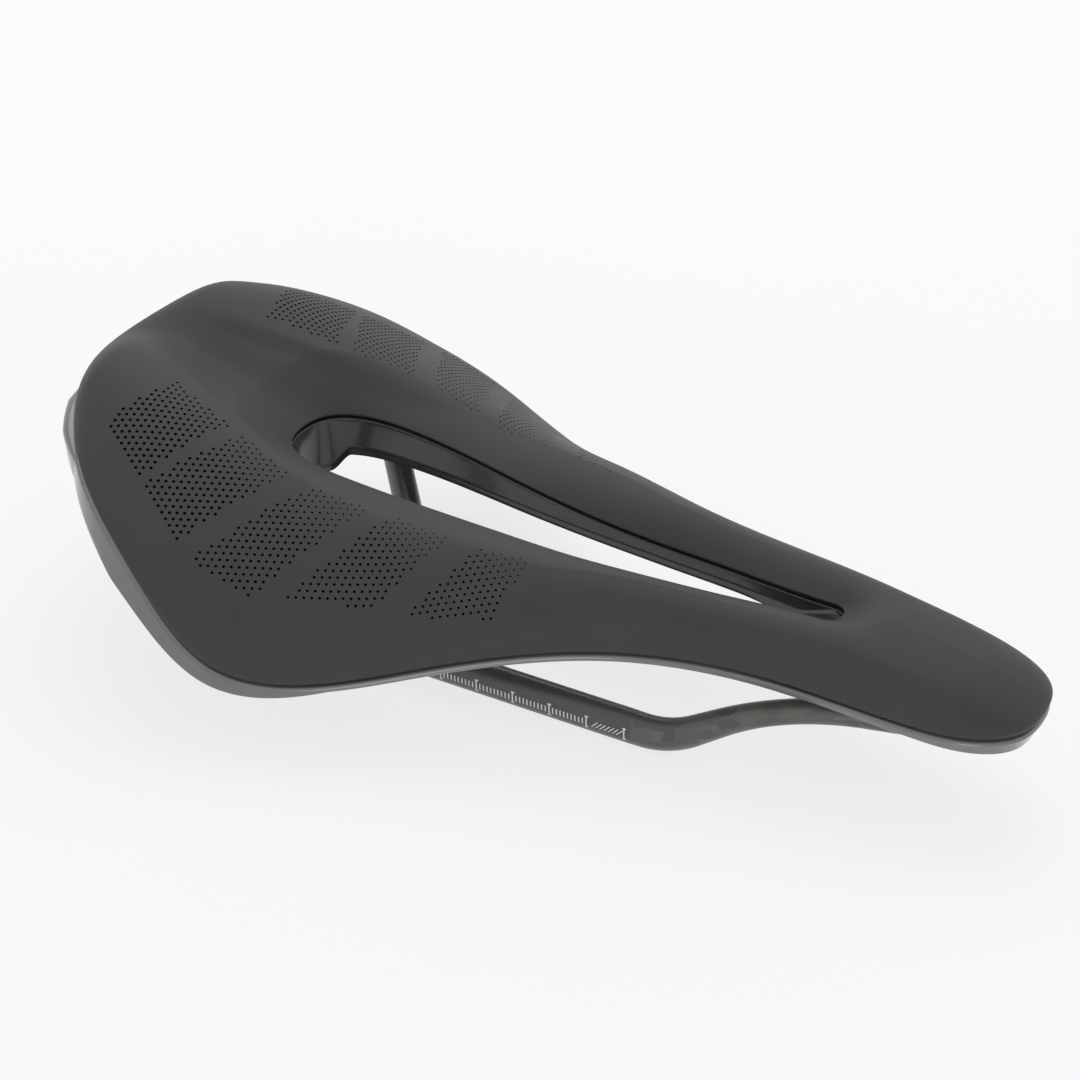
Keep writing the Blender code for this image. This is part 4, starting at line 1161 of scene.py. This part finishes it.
@dataclass
class CarbonRails:
    """The two oval rails, swept along a path of straight runs with rounded corners."""

    sheets: SaddleSheets
    width: float = 0.007
    height: float = 0.009
    spacing: float = 0.044
    rear_x: float = -0.046
    rear_angle: float = 50.0
    rear_splay: float = 41.0
    rear_end_gap: float = 0.006
    front_x: float = 0.050
    ramp_x: float = 0.078
    ramp_spacing: float = 0.036
    ramp_rise: float = 0.0176
    nose_x: float = 0.110
    nose_spacing: float = 0.018
    nose_cover: float = 0.0010
    nose_height: float = 0.0055
    bends: tuple = (0.014, 0.024, 0.060)
    fullness: float = 2.0
    taper_x: float = 0.038
    sides: int = 72
    bend_steps: int = 26
    run_step: float = 0.002

    def corners(self) -> Array:
        """Return the left rail's corners, set against the shell's underside.

        The rear run rises at its two angles until it is a gap short of the shell, and the front end lies
        below the shell by the socket's cover.

        Returns:
            Corners from the rear end to the front end.
        """
        tree = self.sheets.under_tree()
        level = 0.5 * self.height
        rear = np.array([self.rear_x, 0.5 * self.spacing, level])
        rise, splay = math.radians(self.rear_angle), math.radians(self.rear_splay)
        run = math.cos(rise)
        direction = np.array([-run * math.cos(splay), run * math.sin(splay), math.sin(rise)])
        reach = tree.ray_cast(Vector(rear), Vector(direction))[3] - self.rear_end_gap
        front = np.array([self.front_x, 0.5 * self.spacing, level])
        ramp = np.array([self.ramp_x, 0.5 * self.ramp_spacing, level + self.ramp_rise])
        roof = tree.ray_cast(Vector((self.nose_x, 0.5 * self.nose_spacing, 0.0)), Vector(UP))[3]
        end = roof - self.sheets.form.clearance - self.nose_cover - 0.5 * self.nose_height
        nose = np.array([self.nose_x, 0.5 * self.nose_spacing, end])
        return np.array([rear + reach * direction, rear, front, ramp, nose])

    def path(self) -> Array:
        """Return points along the left rail: straight runs joined by circular bends.

        Each bend starts before its corner by its radius times the tangent of half the turn.

        Returns:
            Points from the rear end to the front end.
        """
        corners = self.corners()
        pieces = [corners[:1]]
        for before, corner, after, radius in zip(corners, corners[1:], corners[2:], self.bends):
            arriving, leaving = unit(corner - before), unit(after - corner)
            turn = math.acos(float(np.clip(arriving @ leaving, -1.0, 1.0)))
            start = corner - radius * math.tan(0.5 * turn) * arriving
            inward = unit(leaving - (leaving @ arriving) * arriving)
            angle = np.linspace(0.0, turn, self.bend_steps)[:, None]
            bend = start + radius * (np.sin(angle) * arriving + (1.0 - np.cos(angle)) * inward)
            pieces += [self.run(pieces[-1][-1], bend[0]), bend]
        pieces.append(self.run(pieces[-1][-1], corners[-1]))
        pieces.append(corners[-1:])
        return np.concatenate(pieces)

    def run(self, start: Array, end: Array) -> Array:
        """Return evenly spaced points between two points, without the two."""
        count = max(2, int(np.linalg.norm(end - start) / self.run_step))
        return start + (np.arange(1, count) / count)[:, None] * (end - start)

    def rings(self, path: Array, grow: float) -> Array:
        """Return sections along a path: superellipses that get lower towards the nose.

        Args:
            path: Points along the rail.
            grow: How much larger than the rail the sections are on every side.

        Returns:
            Grid of places along the path by points round the section.
        """
        turn = 2.0 * np.pi * np.arange(self.sides) / self.sides
        power = 2.0 / self.fullness
        across = np.sign(np.cos(turn)) * np.abs(np.cos(turn)) ** power * (0.5 * self.width + grow)
        upward = np.sign(np.sin(turn)) * np.abs(np.sin(turn)) ** power
        tangent = unit(np.gradient(path, axis=0))
        side = unit(np.cross(UP, tangent))
        lift = np.cross(tangent, side)
        taper = ease((path[:, 0] - self.taper_x) / (self.ramp_x - self.taper_x))
        half = 0.5 * (self.height + taper * (self.nose_height - self.height)) + grow
        return (path[:, None] + across[None, :, None] * side[:, None]
                + (half[:, None] * upward[None])[..., None] * lift[:, None])

    def tube(self, name: str, side: Side, grow: float) -> bpy.types.Object:
        """Make one closed rail.

        Args:
            name: Name of the piece.
            side: Side of the saddle.
            grow: How much larger than the rail it is on every side.

        Returns:
            The object, with a UV map in metres along the rail and round it.
        """
        path = self.path()
        rings = self.rings(path, grow) * (1.0, side.value, 1.0)
        count, sides = rings.shape[:2]
        quads = ring_quads(count, sides).reshape(count, sides, 4)[:-1].reshape(-1, 4)
        ends = np.stack([np.arange(sides), (np.arange(sides) + (count - 1) * sides)[::-1]])
        if signed_volume(rings.reshape(-1, 3), quads) < 0.0:
            quads, ends = quads[:, ::-1], ends[:, ::-1]
        item = add_mesh(name, rings, quads.tolist() + ends.tolist())
        along = np.concatenate([[0.0], np.cumsum(np.linalg.norm(np.diff(path, axis=0), axis=1))])
        layer = item.data.uv_layers.new(name="rail")
        loops = np.zeros(len(item.data.loops), dtype=np.int32)
        item.data.loops.foreach_get("vertex_index", loops)
        girth = math.pi * 0.5 * (self.width + self.height)
        uv = np.stack([along[loops // sides], (loops % sides) / sides * girth], -1)
        layer.data.foreach_set("uv", uv.astype(np.float32).ravel())
        return item

    def build(self, effects: SharedEffects) -> list[bpy.types.Object]:
        """Build and dress both rails.

        Args:
            effects: The shared node groups.

        Returns:
            The two pieces.
        """
        material = CARBON.material(effects)
        pieces = []
        for side in Side:
            label = side.name.lower()
            piece = self.tube(label + "_rail_fine", side, 0.0)
            piece.data.materials.append(material)
            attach(piece, BODY)
            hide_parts(label + "_rail")
            pieces.append(piece)
        return pieces


@dataclass
class ScaleMarks:
    """White setting marks printed on the right rail's outer side, with a plain hatch at their front end."""

    rails: CarbonRails
    first_x: float = -0.010
    last_x: float = 0.040
    hatch_x: float = 0.030
    division: float = 0.001
    divisions: int = 10
    major_height: float = 0.0034
    minor_height: float = 0.0017
    stroke: float = 0.00034
    minor_stroke: float = 0.00030
    serif: float = 0.0009
    centre_z: float = 0.0042
    hatch_lean: float = 0.0008
    hatch_step: float = 0.0011
    ink: float = 0.00004
    rows: int = 6

    def strokes(self) -> Array:
        """Lay out tall and short marks, serifs on the tall ones, and the slanted hatch.

        Returns:
            For each stroke its lower and upper place along the rail, lower and upper height, and width.
        """
        low, high = self.centre_z - 0.5 * self.major_height, self.centre_z + 0.5 * self.major_height
        count = round((self.last_x - self.first_x) / self.division) + 1
        x = self.first_x + self.division * np.arange(count)
        major = np.arange(count) % self.divisions == 0
        minor = ~major & (x < self.hatch_x)
        plain = np.zeros(int(major.sum()))
        tall = np.stack([x[major], x[major], plain + low, plain + high, plain + self.stroke], -1)
        short_low = np.full(int(minor.sum()), self.centre_z - 0.5 * self.minor_height)
        short = np.stack([x[minor], x[minor], short_low, short_low + self.minor_height,
                          np.full(len(short_low), self.minor_stroke)], -1)
        serif = np.concatenate([
            np.stack([x[major], x[major], plain + level, plain + level + self.stroke, plain + self.serif], -1)
            for level in (low, high - self.stroke)])
        lean = np.arange(self.hatch_x + 2.0 * self.hatch_step, self.last_x - self.hatch_step, self.hatch_step)
        flat = np.zeros(len(lean))
        hatch = np.stack([lean - self.hatch_lean, lean + self.hatch_lean,
                          flat + self.centre_z - 0.5 * self.minor_height,
                          flat + self.centre_z + 0.5 * self.minor_height, flat + self.minor_stroke], -1)
        return np.concatenate([tall, short, serif, hatch])

    def build(self, effects: SharedEffects) -> bpy.types.Object:
        """Build and dress the marks: thin strips that follow the side of the rail's section.

        Args:
            effects: The shared node groups.

        Returns:
            The piece.
        """
        strokes, rails = self.strokes(), self.rails
        share = np.linspace(0.0, 1.0, self.rows)
        z = strokes[:, None, 2] + share * (strokes[:, 3] - strokes[:, 2])[:, None]
        middle = strokes[:, None, 0] + share * (strokes[:, 1] - strokes[:, 0])[:, None]
        half = 0.5 * strokes[:, None, None, 4] * np.array([-1.0, 1.0])
        x = middle[..., None] + half
        tall = np.abs(z - 0.5 * rails.height) / (0.5 * rails.height)
        reach = 0.5 * rails.width * (1.0 - tall ** rails.fullness) ** (1.0 / rails.fullness)
        y = -(0.5 * rails.spacing + reach)
        layers = []
        for lift in (-self.ink, self.ink):
            layers.append(np.stack([x, np.broadcast_to((y - lift)[..., None], x.shape),
                                    np.broadcast_to(z[..., None], x.shape)], -1))
        points = np.stack(layers, axis=1)
        rows = self.rows
        row = np.arange(rows - 1)[:, None] * 2
        sheet = 2 * rows
        front = np.concatenate([row + sheet, row + sheet + 1, row + sheet + 3, row + sheet + 2], 1)
        rear = np.concatenate([row, row + 2, row + 3, row + 1], 1)
        left = np.concatenate([row, row + sheet, row + sheet + 2, row + 2], 1)
        right = np.concatenate([row + 1, row + 3, row + sheet + 3, row + sheet + 1], 1)
        low = np.array([[0, 1, sheet + 1, sheet]])
        top = np.array([[sheet - 2, 2 * sheet - 2, 2 * sheet - 1, sheet - 1]])
        block = np.concatenate([front, rear, left, right, low, top])
        faces = (block[None] + (np.arange(len(strokes)) * 2 * sheet)[:, None, None]).reshape(-1, 4)
        piece = add_mesh("rail_scale_marks", points, faces)
        piece.data.materials.append(INK.material(effects))
        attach(piece, BODY)
        return piece


@dataclass
class Fittings:
    """Sockets, caps and screws that hold the rails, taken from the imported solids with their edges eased."""

    edge: float = 0.00035
    segments: int = 3
    weld: float = 0.000005
    flat_angle: float = 1.0
    sharp_angle: float = 35.0
    moulded: tuple = ("nose_socket", "rear_socket_left", "rear_socket_right", "rear_cap_left",
                      "rear_cap_right")
    screws: tuple = ("rear_screw_left_inner", "rear_screw_left_outer", "rear_screw_right_inner",
                     "rear_screw_right_outer")

    def ease_edges(self, node: str) -> bpy.types.Object:
        """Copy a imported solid, join its loose triangles and round its edges.

        Args:
            node: Name of the solid.

        Returns:
            The new piece.
        """
        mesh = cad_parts[node].data.copy()
        work = bmesh.new()
        work.from_mesh(mesh)
        bmesh.ops.remove_doubles(work, verts=work.verts, dist=self.weld)
        bmesh.ops.dissolve_limit(work, angle_limit=math.radians(self.flat_angle), verts=work.verts,
                                 edges=work.edges)
        work.to_mesh(mesh)
        work.free()
        mesh.shade_smooth()
        mesh.set_sharp_from_angle(angle=math.radians(self.sharp_angle))
        mesh.materials.clear()
        piece = bpy.data.objects.new(node + "_eased", mesh)
        bpy.context.collection.objects.link(piece)
        bevel = piece.modifiers.new("eased_edges", "BEVEL")
        bevel.width = self.edge
        bevel.segments = self.segments
        bevel.limit_method = "ANGLE"
        bevel.angle_limit = math.radians(self.sharp_angle)
        bevel.use_clamp_overlap = True
        return piece

    def build(self, effects: SharedEffects) -> list[bpy.types.Object]:
        """Build and dress every fitting.

        Args:
            effects: The shared node groups.

        Returns:
            The pieces.
        """
        pieces = []
        for nodes, finish, slot in ((self.moulded, MOULDED, Slot.MOULDED), (self.screws, STEEL, Slot.STEEL)):
            material = finish.material(effects)
            for node in nodes:
                piece = self.ease_edges(node)
                piece.data.materials.append(material)
                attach(piece, BODY)
                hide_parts(node)
                pieces.append(piece)
        return pieces


@dataclass
class Studio:
    """Camera, pale floor and soft light."""

    camera_place: tuple = (0.25403, -0.45174, 0.36554)
    camera_right: tuple = (0.8745, 0.4851, 0.0)
    camera_up: tuple = (-0.2628, 0.4737, 0.8406)
    camera_back: tuple = (0.4078, -0.7351, 0.5417)
    lens_mm: float = 84.8
    sensor_mm: float = 36.0
    near_clip: float = 0.01
    floor_half: float = 4.0
    floor_colour: Colour = (0.90, 0.90, 0.90)
    floor_roughness: float = 0.9
    floor_white: float = 0.75
    horizon: float = 1.5
    sky: float = 0.45
    sky_span: tuple = (0.05, 0.55)
    back_wall: float = 0.4
    back_span: tuple = (-0.1, 0.9)
    lamps: tuple = (
        ("top_softbox", (-0.3, 0.6, 1.1), (0.0, 0.0, 0.04), 1.0, 5.0),
        ("front_softbox", (0.5, -1.2, 0.22), (0.0, 0.0, 0.04), 0.5, 2.0),
    )

    def camera(self) -> None:
        """Set up the camera at the photograph's viewing angle."""
        data = bpy.data.cameras.new("photo_camera")
        data.lens = self.lens_mm
        data.sensor_width = self.sensor_mm
        data.clip_start = self.near_clip
        item = bpy.data.objects.new("photo_camera", data)
        turn = Matrix((self.camera_right, self.camera_up, self.camera_back)).transposed()
        item.matrix_world = Matrix.Translation(self.camera_place) @ turn.to_4x4()
        bpy.context.collection.objects.link(item)
        bpy.context.scene.camera = item

    @staticmethod
    def seen(tree: bpy.types.NodeTree) -> bpy.types.NodeSocket:
        """Tell the rays by which the surroundings are seen from those that only light the saddle.

        Args:
            tree: Node tree that takes the nodes.

        Returns:
            A value that is 1 for rays from the camera, reflected rays and rays through glass.
        """
        path = add_node(tree, "ShaderNodeLightPath").outputs
        total = calculate(tree, "ADD", path["Is Camera Ray"], path["Is Glossy Ray"])
        return calculate(tree, "ADD", total, path["Is Transmission Ray"], use_clamp=True)

    def floor(self) -> None:
        """Lay the floor, mostly plain white to the camera, which still takes the saddle's shadow."""
        half = self.floor_half
        mesh = bpy.data.meshes.new("floor")
        mesh.from_pydata([(-half, -half, 0.0), (half, -half, 0.0), (half, half, 0.0), (-half, half, 0.0)], [],
                         [(0, 1, 2, 3)])
        material = bpy.data.materials.new("floor_paper")
        material.use_nodes = True
        tree = material.node_tree
        shader = tree.nodes["Principled BSDF"]
        shader.inputs["Base Color"].default_value = (*self.floor_colour, 1.0)
        shader.inputs["Roughness"].default_value = self.floor_roughness
        shader.inputs["Specular IOR Level"].default_value = 0.0
        share = calculate(tree, "MULTIPLY", self.seen(tree), self.floor_white)
        white = add_node(tree, "ShaderNodeEmission", {"Color": (1.0, 1.0, 1.0, 1.0), "Strength": 1.0})
        mix = add_node(tree, "ShaderNodeMixShader", {0: share, 1: shader.outputs["BSDF"],
                                                     2: white.outputs["Emission"]})
        tree.links.new(mix.outputs["Shader"], tree.nodes["Material Output"].inputs["Surface"])
        mesh.materials.append(material)
        item = bpy.data.objects.new("floor", mesh)
        bpy.context.collection.objects.link(item)

    def light(self) -> None:
        """Hang the softboxes and set the light all round, which shows as white to the camera.

        The light is strongest at the horizon, weaker overhead and a little stronger towards the back wall.
        """
        for name, place, target, size, power in self.lamps:
            data = bpy.data.lights.new(name, "AREA")
            data.size = size
            data.energy = power
            item = bpy.data.objects.new(name, data)
            aim = (Vector(target) - Vector(place)).to_track_quat("-Z", "Y")
            item.matrix_world = Matrix.Translation(place) @ aim.to_matrix().to_4x4()
            bpy.context.collection.objects.link(item)
        world = bpy.data.worlds.new("studio_light")
        bpy.context.scene.world = world
        world.use_nodes = True
        tree = world.node_tree
        direction = add_node(tree, "ShaderNodeTexCoord").outputs["Generated"]
        axis = add_node(tree, "ShaderNodeSeparateXYZ", {"Vector": direction}).outputs
        smooth = {"interpolation_type": "SMOOTHSTEP"}
        rise = spread(tree, axis["Z"], self.sky_span, (self.horizon, self.sky), **smooth)
        back = spread(tree, axis["Y"], self.back_span, (0.0, self.back_wall), **smooth)
        level = spread(tree, self.seen(tree), (0.0, 1.0), (calculate(tree, "ADD", rise, back), 1.0))
        tree.links.new(level, tree.nodes["Background"].inputs["Strength"])
        tree.nodes["Background"].inputs["Color"].default_value = (1.0, 1.0, 1.0, 1.0)
        bpy.context.scene.view_settings.view_transform = "Standard"

    def build(self) -> None:
        """Set up the whole studio."""
        self.camera()
        self.floor()
        self.light()


def main() -> None:
    """Build every class in order and report each piece."""
    logging.basicConfig(level=logging.INFO, format="%(name)s: %(message)s")
    Studio().build()
    effects = SharedEffects()
    form = SaddleForm()
    fine = SaddleSheets(form, DRESSED_FINENESS)
    rails = CarbonRails(SaddleSheets(form, PACKED_FINENESS))
    pieces = [PaddedCover(fine).build(effects), BaseShell(fine).build(effects, rails),
              CutoutLiner(fine).build(effects)]
    pieces += rails.build(effects)
    pieces.append(ScaleMarks(rails).build(effects))
    pieces += Fittings().build(effects)
    for piece in pieces:
        LOG.info("%s: %d faces", piece.name, len(piece.data.polygons))


if __name__ == "__main__":
    main()
